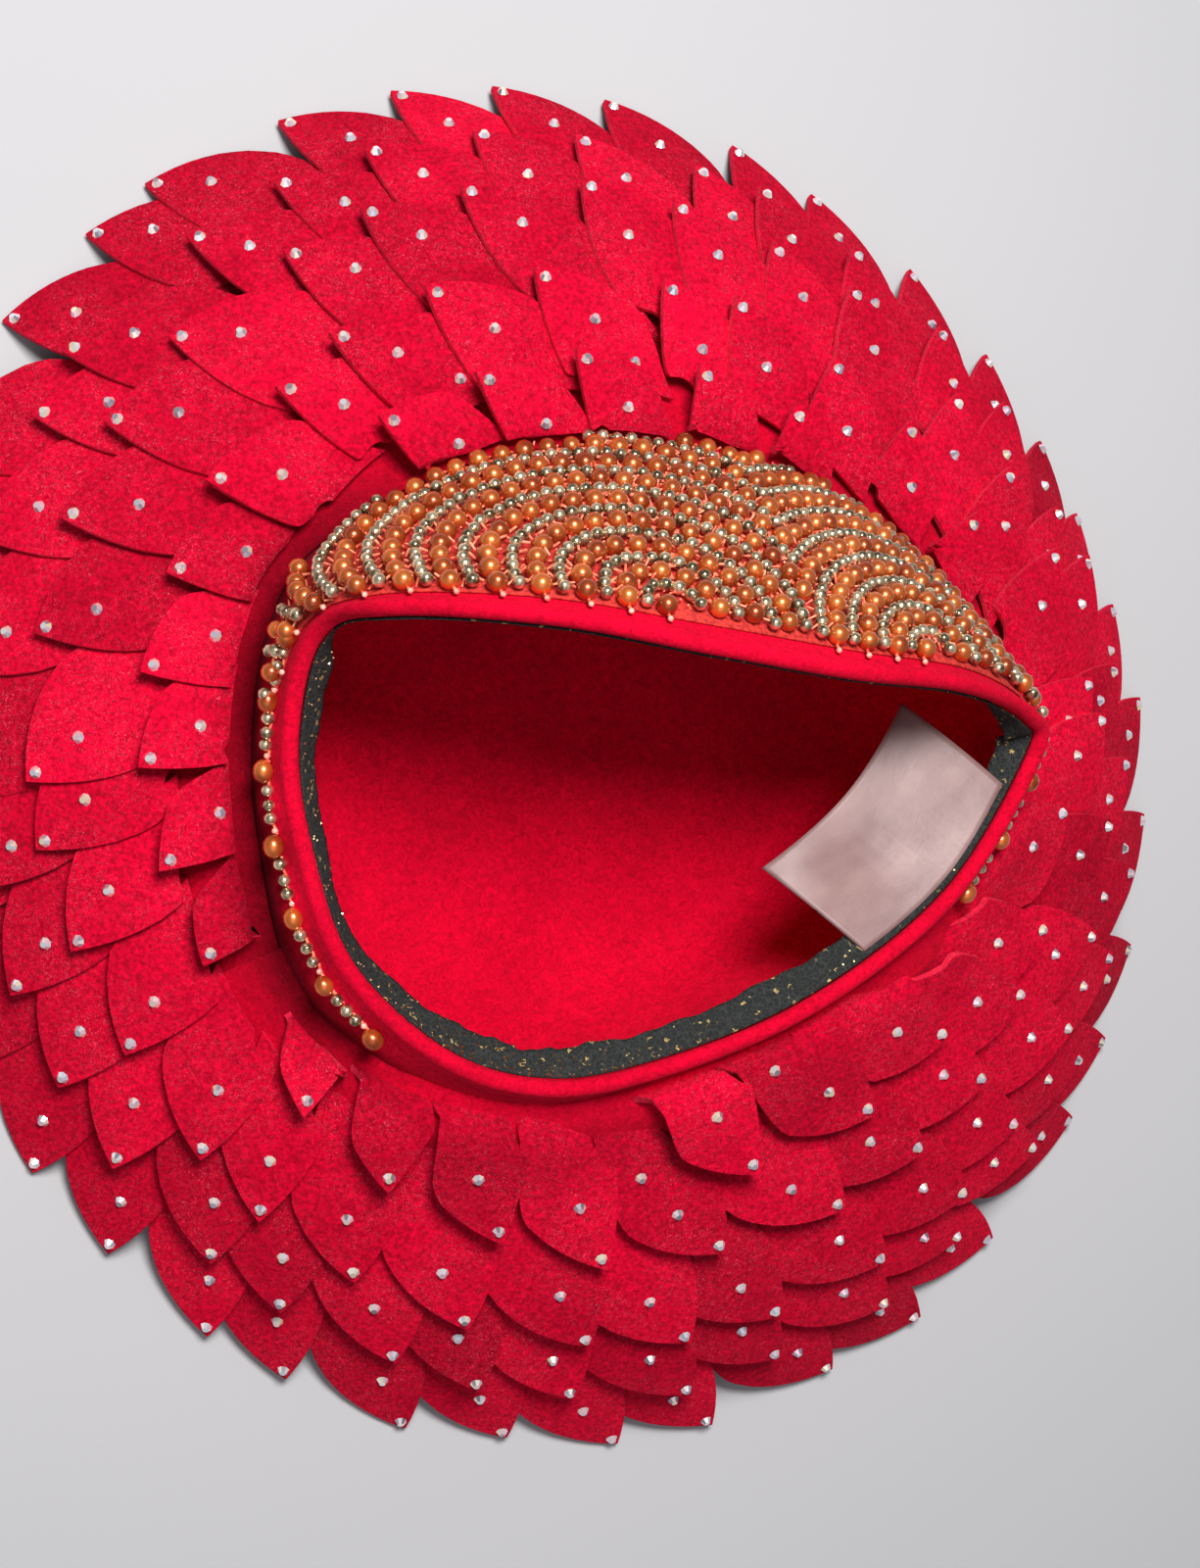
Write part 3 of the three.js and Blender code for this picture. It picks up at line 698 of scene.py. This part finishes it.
# partly the stones' own pink, blue and gold tints, partly painted glints: each facet gets a random colour
# from dark to white in place of what it reflects
glint = addNode(tree, "ShaderNodeAttribute", {"attribute_name": "glint"}).outputs["Fac"]
tintAndGlint = ramp(tree, glint, [(0.0, (0.3, 0.25, 0.3, 1)), (0.2, (0.66, 0.68, 0.8, 1)),
                          (0.42, (0.92, 0.92, 0.96, 1)), (0.62, (0.95, 0.62, 0.75, 1)),
                          (0.8, (0.98, 0.86, 0.6, 1)), (1.0, (1, 1, 1, 1))])
feed(tree, shader, Base_Color=tintAndGlint)


def standOn(point, normal, twist):  # a place for a small part: its +Z along the normal
    up = normal.normalized()
    side = up.orthogonal().normalized()
    side.rotate(Matrix.Rotation(twist, 3, up))
    other = up.cross(side)
    turned = Matrix((side, other, up)).transposed().to_4x4()
    return Matrix.Translation(point) @ turned


def addPeg(shape, sides, base, top, height, place):
    return bmesh.ops.create_cone(shape, cap_ends=True, segments=sides, radius1=base, radius2=top,
                                 depth=height, matrix=place)


def addStone(shape, glintLayer, place, radius, height, seed):
    made = addPeg(shape, 8, radius, radius * 0.5, height, place)
    faces = {face for corner in made["verts"] for face in corner.link_faces}
    for number, face in enumerate(sorted(faces, key=lambda face: face.index)):
        value = 0.5 + 0.5 * wobble(seed + number * 0.17)
        for corner in face.loops:
            corner[glintLayer] = (value, value, value, 1)


def petalCrystals():
    shape = bmesh.new()
    glintLayer = shape.loops.layers.float_color.new("glint")
    for row in range(len(petalRows)):
        for leaf in petalsOf(row):
            seed = leaf["seed"]
            spots = [(crystal["fromTip"], 0),
                     (crystal["middle"] + 2 * mm * wobble(seed + 0.71), 0.15 * wobble(seed + 0.72))]
            if row >= 3 and wobble(seed + 0.55) > -0.2:
                spots.append((crystal["inner"] + 2 * mm * wobble(seed + 0.61), 0.2 * wobble(seed + 0.62)))
            for number, (fromTip, side) in enumerate(spots):
                if fromTip > leaf["length"] - crystal["rootMargin"]:
                    continue
                here = onPetal(leaf, fromTip, side, petal["felt"])
                above = onPetal(leaf, fromTip, side, petal["felt"] + 1 * mm)
                normal = above - here
                place = standOn(here + normal.normalized() * crystal["height"] * 0.45, normal, seed)
                addStone(shape, glintLayer, place, crystal["radius"], crystal["height"], seed + number * 3.1)
    addPiece(shape, "petalCrystals", [stoneGlass], soft=False)


petalCrystals()
print("crystals on the petals")


trim = {
    "width": 8.5 * mm,
    "thickness": 1 * mm,
    "net": 0.5 * mm,  # thickness of the net itself
    "seat": 0.3 * mm,
    "tucked": 4,  # degrees off the wall under the beaded side, at the front and on the plain side
    "front": 50,
    "plain": 76,
    "wave": 1.1 * mm,  # of the free edge
    "ruffle": 0.25 * mm,
    "fuzz": 0.12 * mm,
    "columns": 540,
    "rows": 8,
    "glitter": 330,
}
label = {
    "length": 64 * mm,
    "width": 35 * mm,
    "satin": 0.35 * mm,
    "drop": 11 * mm,  # from its sewn edge to its free edge
    "inset": 1.5 * mm,
    "overTrim": 0.8 * mm,
    "centre": 0.925,  # share of the way round the lip
    "hem": 2 * mm,
    "hemThickness": 0.3 * mm,
    "stitches": 11,  # in each hem
    "columns": 40,
    "rows": 24,
}


def trimLean(share):
    place = share % 1
    lean = trim["tucked"]
    lean = mix(lean, trim["front"], smooth((place - 0.41) / 0.05))
    lean = mix(lean, trim["plain"], smooth((place - 0.6) / 0.1))
    lean = mix(lean, trim["front"], smooth((place - 0.94) / 0.06))
    if place < 0.12:
        lean = mix(trim["front"], trim["tucked"], smooth((place - 0.02) / 0.09))
    return math.radians(lean)


def trimPoint(spot, lean, distance, lift):
    inward = crown["lipRoll"] / 2 + trim["seat"] + distance * math.sin(lean) + lift * math.cos(lean)
    return (spot["lip"] - spot["out"] * inward
            + spot["down"] * (distance * math.cos(lean) - lift * math.sin(lean)))


def laceMaterial():  # dark net with gold flecks
    material, tree, shader = newMaterial("laceBlack", Specular_IOR_Level=0.25)
    place = objectPlace(tree)
    warped = addNode(tree, "ShaderNodeTexNoise", i0=place, Scale=160.0, Detail=2.0).outputs["Color"]
    shifted = addNode(tree, "ShaderNodeMix", {"data_type": "VECTOR"}, Factor=0.006, i4=place, i5=warped)
    mesh = addNode(tree, "ShaderNodeTexVoronoi", {"feature": "DISTANCE_TO_EDGE"}, i0=shifted.outputs[1],
                   Scale=620.0)
    spark = addNode(tree, "ShaderNodeTexVoronoi", i0=place, Scale=900.0)
    fine = noise(tree, place, 2600.0, Detail=3.0, Roughness=0.7)
    net = greys(tree, mesh.outputs["Distance"], (0.05, 1), (0.16, 0))
    gold = maths(tree, "MULTIPLY", net, greys(tree, spark.outputs["Color"], (0.84, 0), (0.88, 0.6)))
    ground = ramp(tree, fine, [(0.35, (0.004, 0.005, 0.006, 1)), (0.7, (0.03, 0.034, 0.033, 1))])
    threads = blend(tree, net, ground, (0.03, 0.033, 0.031, 1))
    feed(tree, shader, Base_Color=blend(tree, gold, threads, (0.85, 0.6, 0.22, 1)), Metallic=gold,
         Roughness=spread(tree, gold, 0.85, 0.3),
         Normal=bump(tree, maths(tree, "ADD", net, fine), 0.8, 0.25 * mm))
    return material


laceBlack = laceMaterial()
goldFoil, tree, shader = newMaterial("goldFoil", Metallic=1.0, Roughness=0.2)
foil = ramp(tree, noise(tree, objectPlace(tree), 700.0),
            [(0.35, (0.5, 0.36, 0.14, 1)), (0.65, (1, 0.86, 0.5, 1))])
feed(tree, shader, Base_Color=foil)


def laceEdge(column):  # the free edge is stretched unevenly
    angle = column / trim["columns"] * math.tau
    waves = 0.5 * math.sin(angle * 13) + 0.3 * math.sin(angle * 29 + 1) + 0.2 * math.sin(angle * 71)
    return trim["wave"] * waves


def trimPiece():
    columns = trim["columns"]
    spots = [wallFrame(column / columns) for column in range(columns)]
    leans = [trimLean(column / columns) for column in range(columns)]

    def place(column, row):
        share = row / trim["rows"]
        which = column % columns
        width = trim["width"] + laceEdge(which)
        lift = (trim["thickness"] / 2 + trim["ruffle"] * math.sin(which * 0.31) * share
                + trim["fuzz"] * wobble(which * 9 + row))
        return trimPoint(spots[which], leans[which], share * width, lift)

    piece = addPiece(sheet(columns, trim["rows"], place, closed=True), "laceTrim", [laceBlack],
                     ["inner_trim"], outward=False)
    thicken(piece, trim["net"])


def trimGlitter():
    shape = bmesh.new()
    for number in range(trim["glitter"]):
        share = 0.44 + 0.55 * (number / trim["glitter"]) + 0.004 * wobble(number + 0.2)
        dense = 0.25 + 0.75 * smooth((share - 0.62) / 0.06) * smooth((0.86 - share) / 0.08)
        if 0.5 + 0.5 * wobble(number + 0.4) > dense:
            continue
        spot, lean = wallFrame(share), trimLean(share)
        near = (0.5 + 0.5 * wobble(number + 0.6)) ** 2.2
        point = trimPoint(spot, lean, mix(0.6 * mm, trim["width"], near), trim["thickness"] / 2 + 0.45 * mm)
        normal = spot["down"] * -math.sin(lean) - spot["out"] * math.cos(lean)
        facing = standOn(point, normal + spot["along"] * 0.5 * wobble(number), number)
        addPeg(shape, 6, 0.42 * mm, 0.26 * mm, 0.3 * mm, facing)
    addPiece(shape, "trimGlitter", [goldFoil], soft=False)


trimPiece()
trimGlitter()


def lipTable():  # length along the lip, so that the label keeps its own
    steps = 800
    shares = [step / steps for step in range(steps + 1)]
    lengths = [0]
    for low, high in zip(shares, shares[1:]):
        lengths.append(lengths[-1] + (alongLoop(lipPoints, high) - alongLoop(lipPoints, low)).length)
    return shares, lengths


def satinMaterial():
    material, tree, shader = newMaterial("satin", Specular_IOR_Level=0.4, Sheen_Weight=0.05,
                                         Sheen_Roughness=0.35, Anisotropic=0.6)
    place = addNode(tree, "ShaderNodeUVMap", {"uv_map": "UVMap"}).outputs["UV"]
    stretched = addNode(tree, "ShaderNodeMapping", i0=place, Scale=(4, 260, 1))
    threads = noise(tree, stretched.outputs[0], 6.0, Detail=3.0, Roughness=0.6)
    tone = maths(tree, "MULTIPLY", threads, noise(tree, place, 2.4, Detail=2.0))
    color = ramp(tree, tone, [(0.12, (0.16, 0.08, 0.08, 1)), (0.36, (0.34, 0.22, 0.21, 1))])
    feed(tree, shader, Base_Color=color,
         Roughness=spread(tree, threads, 0.28, 0.5), Normal=bump(tree, threads, 0.5, 0.06 * mm))
    return material


def labelPiece():
    satin = satinMaterial()
    columns, rows = label["columns"], label["rows"]
    shares, lengths = lipTable()
    total = lengths[-1]

    def edgePoint(along):
        wanted = (label["centre"] * total + along) % total
        share = shares[bisect(lengths, wanted) - 1]
        return trimPoint(wallFrame(share), trimLean(share), label["inset"],
                         trim["thickness"] + label["overTrim"])

    ends = edgePoint(-label["length"] / 2), edgePoint(label["length"] / 2)
    chord = (ends[1] - ends[0]).normalized()
    inward = Vector((0, 0, 1)).cross(chord).normalized()
    slope = math.asin(label["drop"] / label["width"])
    way = inward * math.cos(slope) - Vector((0, 0, math.sin(slope)))
    up = chord.cross(way) * -1

    def place(column, row):  # gently waved, its free corners lifted
        along, across = column / columns - 0.5, row / rows
        wave = (1.3 * mm * math.sin(across * 3.1) * math.cos(along * 5)
                + 2.2 * mm * across ** 2 * (2 * along) ** 4)
        return edgePoint(label["length"] * along) + way * label["width"] * across + up * (0.8 * mm + wave)

    piece = addPiece(sheet(columns, rows, place), "satinLabel", [satin], ["label"], outward=False)
    thicken(piece, label["satin"])
    hems, stitches = bmesh.new(), bmesh.new()
    for end, inwards in ((0, 1), (1, -1)):  # a turned hem at each short end
        def hemPlace(column, row):
            along = end + inwards * column / 4 * label["hem"] / label["length"]
            return place(along * columns, row) + up * 0.4 * mm * (1 if column < 4 else 0.4)

        sheet(4, rows, hemPlace, shape=hems)
        for number in range(label["stitches"]):
            here = place((end + inwards * 1.5 * mm / label["length"]) * columns, number * 2 + 2)
            addPeg(stitches, 5, 0.16 * mm, 0.12 * mm, 1.5 * mm, standOn(here + up * 0.72 * mm, way, number))
    hem = addPiece(hems, "labelHem", [satin], outward=False)
    thicken(hem, label["hemThickness"])
    seam = addPiece(stitches, "labelStitches", [satin], soft=False)


labelPiece()
print("trim and label")


band = {
    "start": 0.004, "end": 0.468,  # shares of the way round the wall that have a sewn ground
    "top": 4.6 * mm,  # bare felt below the lip
    "backMargin": 6 * mm,  # bare wall between the sewn ground and the foot
    "margin": 1.5 * mm,  # bare wall between the last beads and the foot
    "narrow": 5.6 * mm,  # the least height of the band
    "pearl": 2.7 * mm,  # radius
    "pearlStep": 6.0 * mm,
    "bead": 1.85 * mm,  # radius of the silver-lined beads
    "beadStep": 3.45 * mm,
    "beadRise": 0.9 * mm,  # they stand proud between the pearls
    "ringStep": 10.2 * mm,  # from one row of pearls to the next
    "firstRing": 2.4 * mm,
    "rings": 26,  # round each centre, as far as they fit the wall
    "ringDrop": 2.2 * mm,  # from the top of the band to the centres
    "leastBeaded": 0.14,
    "leftLine": (0.444, 0.662), "rightLine": (-0.055, 0.03),  # where the single lines run
    "centres": [0.265, 0.151],  # of the two sets of arcs, as shares of the way round
    "thread": 0.42 * mm,  # radius
    "groundEnd": 1.5 * mm,  # height of the sewn ground where it runs out
    "drop": 0.85 * mm,  # radius of the seed beads
    "seat": 0.7 * mm,  # top of the sewn ground over the felt
    "ground": 0.5 * mm,  # its thickness
    "groundRise": 0.45 * mm,
    "lineRise": 0.8 * mm,  # how far the single lines lie nearer the lip than the narrowest band
    "tableFrom": -0.1, "tableTo": 0.7,  # shares of the way round that the tables below cover
}


def beadedShare(share):
    place = (share % 1) * len(wallStations)
    before = math.floor(place)
    return mix(wallStations[before][5], wallStations[(before + 1) % len(wallStations)][5], place - before)


def bandWidth(share, spot):
    return max(band["narrow"], beadedShare(share) * (spot["length"] - band["top"] - band["margin"]))


def bandBacking():
    columns = 200

    def place(column, row):
        share = mix(band["start"], band["end"], column / columns)
        spot = wallFrame(share)
        wide = beadedShare(share) * (spot["length"] - band["top"] - band["backMargin"])
        fromEnd = smooth(min(share - band["start"], band["end"] - share) / 0.03)
        height = mix(band["groundEnd"], max(wide, band["groundEnd"]), fromEnd)
        return wallPoint(spot, band["top"] + 1 * mm + height * row / 10,
                         crown["felt"] / 2 + band["groundRise"])

    piece = addPiece(sheet(columns, 10, place), "bandGround", [bandGround], ["beaded_band"],
                     outward=False)
    thicken(piece, band["ground"])


def beadMaterial(name, dark, light, scale, **settings):  # a coat that is a little uneven from bead to bead
    material, tree, shader = newMaterial(name, **settings)
    uneven = noise(tree, objectPlace(tree), scale, Detail=2.0)
    feed(tree, shader, Base_Color=ramp(tree, uneven, [(0.36, (*dark, 1)), (0.64, (*light, 1))]))
    return material


pearlCoat = beadMaterial("pearlCoat", (0.36, 0.055, 0.01), (0.8, 0.2, 0.04), 130.0, Metallic=0.7,
                         Roughness=0.3, Coat_Weight=0.7, Coat_Roughness=0.12)
silverBead = beadMaterial("silverBead", (0.14, 0.1, 0.045), (0.92, 0.77, 0.5), 420.0, Metallic=0.85,
                          Roughness=0.2, Coat_Weight=0.8, Coat_Roughness=0.05)
beadThread = beadMaterial("beadThread", (0.7, 0.07, 0.03), (1.0, 0.36, 0.2), 500.0, Roughness=0.6)
bandGround = beadMaterial("bandGround", (0.3, 0.008, 0.008), (0.62, 0.03, 0.02), 900.0, Roughness=0.9)
pinkSeed = beadMaterial("pinkSeed", (0.7, 0.2, 0.14), (1.0, 0.5, 0.4), 600.0, Roughness=0.15,
                        Coat_Weight=0.8)
bandBacking()

# distance along the middle of the wall, so that beads keep their spacing
runSteps, frameSteps = 800, 1600
tableSpan = band["tableTo"] - band["tableFrom"]
wallSteps = [mix(band["tableFrom"], band["tableTo"], step / runSteps) for step in range(runSteps + 1)]
wallRun = [0]
for low, high in zip(wallSteps, wallSteps[1:]):
    middles = [(alongLoop(lipPoints, share) + alongLoop(footPoints, share)) / 2 for share in (low, high)]
    wallRun.append(wallRun[-1] + (middles[1] - middles[0]).length)


def between(places, values, place):
    after = min(max(bisect(places, place), 1), len(places) - 1)
    part = (place - places[after - 1]) / (places[after] - places[after - 1])
    return mix(values[after - 1], values[after], part)


bandFrames = [wallFrame(mix(band["tableFrom"], band["tableTo"], step / frameSteps))
              for step in range(frameSteps + 1)]


def nearFrame(share):
    return bandFrames[round((share - band["tableFrom"]) / tableSpan * frameSteps)]


def ringSpots(centre, other, second, radius, step):  # beads on one arc round a centre on the lip
    spots = []
    for degree in range(0, 721):
        angle = math.radians(degree / 4)
        run = centre + radius * math.cos(angle)
        if math.hypot(run - other, radius * math.sin(angle)) < radius - (0.1 * mm if second else 0):
            continue
        if run < wallRun[0] or run > wallRun[-1]:
            continue
        share = between(wallRun, wallSteps, run)
        spot = nearFrame(share)
        distance = band["top"] + band["ringDrop"] + radius * math.sin(angle)
        lowest = band["top"] + bandWidth(share, spot)
        if beadedShare(share) < band["leastBeaded"] or distance > lowest:
            continue
        point = wallPoint(spot, distance, crown["felt"] / 2)
        if spots and (point - spots[-1][0]).length < step:
            continue
        spots.append((point, spot["out"], spot["down"], degree))
    return spots


def beadedSpots():  # pearls and silver beads by turns
    centres = [between(wallSteps, wallRun, share) for share in band["centres"]]
    pearlRings, beadRings = [], []
    for which, centre in enumerate(centres):
        for ring in range(band["rings"]):
            radius = band["firstRing"] + ring * band["ringStep"] / 2
            rings, step = (pearlRings, band["pearlStep"]) if ring % 2 == 0 else (beadRings, band["beadStep"])
            rings.append(ringSpots(centre, centres[1 - which], which, radius, step))
    return pearlRings, beadRings


def lineSpots(first, last):  # one line under the lip: a pearl, three silver beads, then a seed bead
    found = {"pearl": [], "bead": [], "seed": []}
    pattern = [("pearl", 5.3), ("bead", 3.5), ("bead", 3.5), ("bead", 3.5), ("seed", 1.9)]  # room of each
    number, share = 0, first
    while share < last:
        kind, room = pattern[number % len(pattern)]
        spot = wallFrame(share)
        point = wallPoint(spot, band["top"] + band["narrow"] / 2 - band["lineRise"],
                          crown["felt"] / 2 - band["seat"])
        found[kind].append((point, spot["out"], spot["along"], 0))
        pace = (wallFrame(share + 0.002)["lip"] - spot["lip"]).length / 0.002
        following = pattern[(number + 1) % len(pattern)][1]
        share += (room + following) / 2 * mm * (1 + 0.08 * wobble(number)) / pace
        number += 1
    return found["pearl"], found["bead"], found["seed"]


pearlRings, beadRings = beadedSpots()
leftLine, rightLine = lineSpots(*band["leftLine"]), lineSpots(*band["rightLine"])
pearlSpots = [spot for ring in pearlRings for spot in ring]
beadSpots = [spot for ring in beadRings for spot in ring]
print("pearls", len(pearlSpots), "silver beads", len(beadSpots))


def roundBeads(name, material, spots, radius, detail, long=1.0, rise=0.0):
    shape = bmesh.new()
    for number, (point, normal, along, _) in enumerate(spots):
        size = radius * (1 + 0.05 * wobble(number + radius))
        slip = along * 0.25 * mm * wobble(number * 1.3) + normal * 0.15 * mm * wobble(number * 2.1)
        place = standOn(point + slip + normal * (band["seat"] + rise + size * 0.93), along, number)
        stretched = place @ Matrix.Diagonal((1, 1, long, 1))
        if detail:
            bmesh.ops.create_icosphere(shape, subdivisions=detail, radius=size, matrix=stretched)
        else:
            bmesh.ops.create_uvsphere(shape, u_segments=8, v_segments=6, radius=size, matrix=stretched)
    addPiece(shape, name, [material])


def bandThreads():  # thread that shows between the beads, and knots at their sides
    shape = bmesh.new()

    def stitch(point, normal, way, length, radius):
        place = standOn(point + normal * band["seat"], way, length * 1e4)
        addPeg(shape, 5, radius, radius * 0.75, length, place)

    for ring in pearlRings + beadRings:
        for low, high in zip(ring, ring[1:]):
            gap = high[0] - low[0]
            if gap.length > 1.6 * band["pearlStep"]:
                continue
            normal = (low[1] + high[1]).normalized()
            seed = low[0].x * 1e4 + low[0].y * 1.7e4
            across = gap.cross(normal).normalized()
            middle = (low[0] + high[0]) / 2
            stitch(middle + normal * 1.5 * mm, normal, gap, 1.9 * mm, band["thread"])
            for side in (-1, 1):
                lean = (gap.normalized() * wobble(seed + side) + across * side * 0.8
                        + normal * wobble(seed + side * 2))
                here = middle + across * side * 2.0 * mm + normal * (1.6 + 0.9 * wobble(seed + 3)) * mm
                stitch(here, normal, lean, 2.3 * mm, band["thread"] * 0.8)
    for line in (leftLine, rightLine):
        for low, high in zip(line[0], line[0][1:]):
            gap = high[0] - low[0]
            for step in range(7):
                here = low[0] + gap * (step + 0.5) / 7
                lean = gap + low[1] * gap.length * 0.3 * wobble(step + here.x * 1e4)
                stitch(here + low[1] * 1.2 * mm, low[1], lean, 2.6 * mm, band["thread"])
    addPiece(shape, "bandThreads", [beadThread], soft=False)


def bandDrops():  # a seed bead on a thread end at the foot of each row, over the bare felt of the lip
    seeds, ends = bmesh.new(), bmesh.new()
    for ring in pearlRings:
        for point, normal, down, degree in ring:
            if degree > 8 and degree < 712:
                continue  # only the ends of an arc lie at the lip
            here = point - down * (band["pearl"] + 1.3 * mm)
            bmesh.ops.create_icosphere(seeds, subdivisions=1, radius=band["drop"],
                                       matrix=Matrix.Translation(here + normal * 1.5 * mm))
            threadPlace = standOn(here + down * 1.2 * mm + normal * 1.6 * mm, down, 0)
            addPeg(ends, 5, band["thread"], band["thread"], 2.2 * mm, threadPlace)
    for line in (leftLine, rightLine):
        for point, normal, _, _ in line[2]:
            bmesh.ops.create_icosphere(seeds, subdivisions=1, radius=band["drop"] * 1.15,
                                       matrix=Matrix.Translation(point + normal * 1.9 * mm))
    addPiece(seeds, "bandSeeds", [pinkSeed])
    addPiece(ends, "bandThreadEnds", [beadThread], soft=False)


roundBeads("bandPearls", pearlCoat, pearlSpots, band["pearl"], 2)
roundBeads("bandSilver", silverBead, beadSpots, band["bead"], 0, 0.88, band["beadRise"])
roundBeads("linePearls", pearlCoat, leftLine[0] + rightLine[0], band["pearl"] * 0.98, 2, 1.18)
roundBeads("lineSilver", silverBead, leftLine[1] + rightLine[1], band["bead"], 0, 0.9)
bandThreads()
bandDrops()
print("beadwork sewn on")


view = {
    "distance": 760 * mm,
    "target": Vector((0.5 * mm, -4.5 * mm, 32 * mm)),
    "tilt": math.radians(20),  # to the left of the brim's axis
    "lens": 63,  # on a picture 36 mm high
    "floor": 3,  # half of its side
}

floorShape = bmesh.new()
bmesh.ops.create_grid(floorShape, x_segments=1, y_segments=1, size=view["floor"])
floorPaint = newMaterial("floorPaint", Roughness=0.9, Base_Color=(0.46, 0.46, 0.475, 1))[0]
meshObject(floorShape, "floor", [floorPaint])


def addLight(name, place, aim, size, power, color):
    data = bpy.data.lights.new(name, "AREA")
    data.shape = "DISK"
    data.size = size
    data.energy = power
    data.color = color
    light = addObject(name, data)
    light.location = place
    light.rotation_euler = (Vector(aim) - Vector(place)).to_track_quat("-Z", "Y").to_euler()


addLight("window", (-0.13, 0.33, 0.93), (0, 0, 0.05), 0.34, 13.8, (1, 0.98, 0.96))
addLight("fill", (-0.3, -0.35, 1.1), (0, 0, 0.05), 1.0, 1.6, (0.96, 0.97, 1))

world = bpy.data.worlds.new("studio")
world.use_nodes = True
sky = world.node_tree.nodes["Background"]
sky.inputs["Color"].default_value = (0.85, 0.88, 0.95, 1)
sky.inputs["Strength"].default_value = 0.22
bpy.context.scene.world = world
bpy.context.scene.view_settings.view_transform = "Standard"

lens = bpy.data.cameras.new("camera")
lens.sensor_fit = "VERTICAL"
lens.sensor_height = 36
lens.lens = view["lens"]
camera = addObject("camera", lens)
away = Vector((-math.sin(view["tilt"]), 0, math.cos(view["tilt"])))
camera.location = view["target"] + away * view["distance"]
camera.rotation_euler = (0, -view["tilt"], 0)
bpy.context.scene.camera = camera
print("stage set")
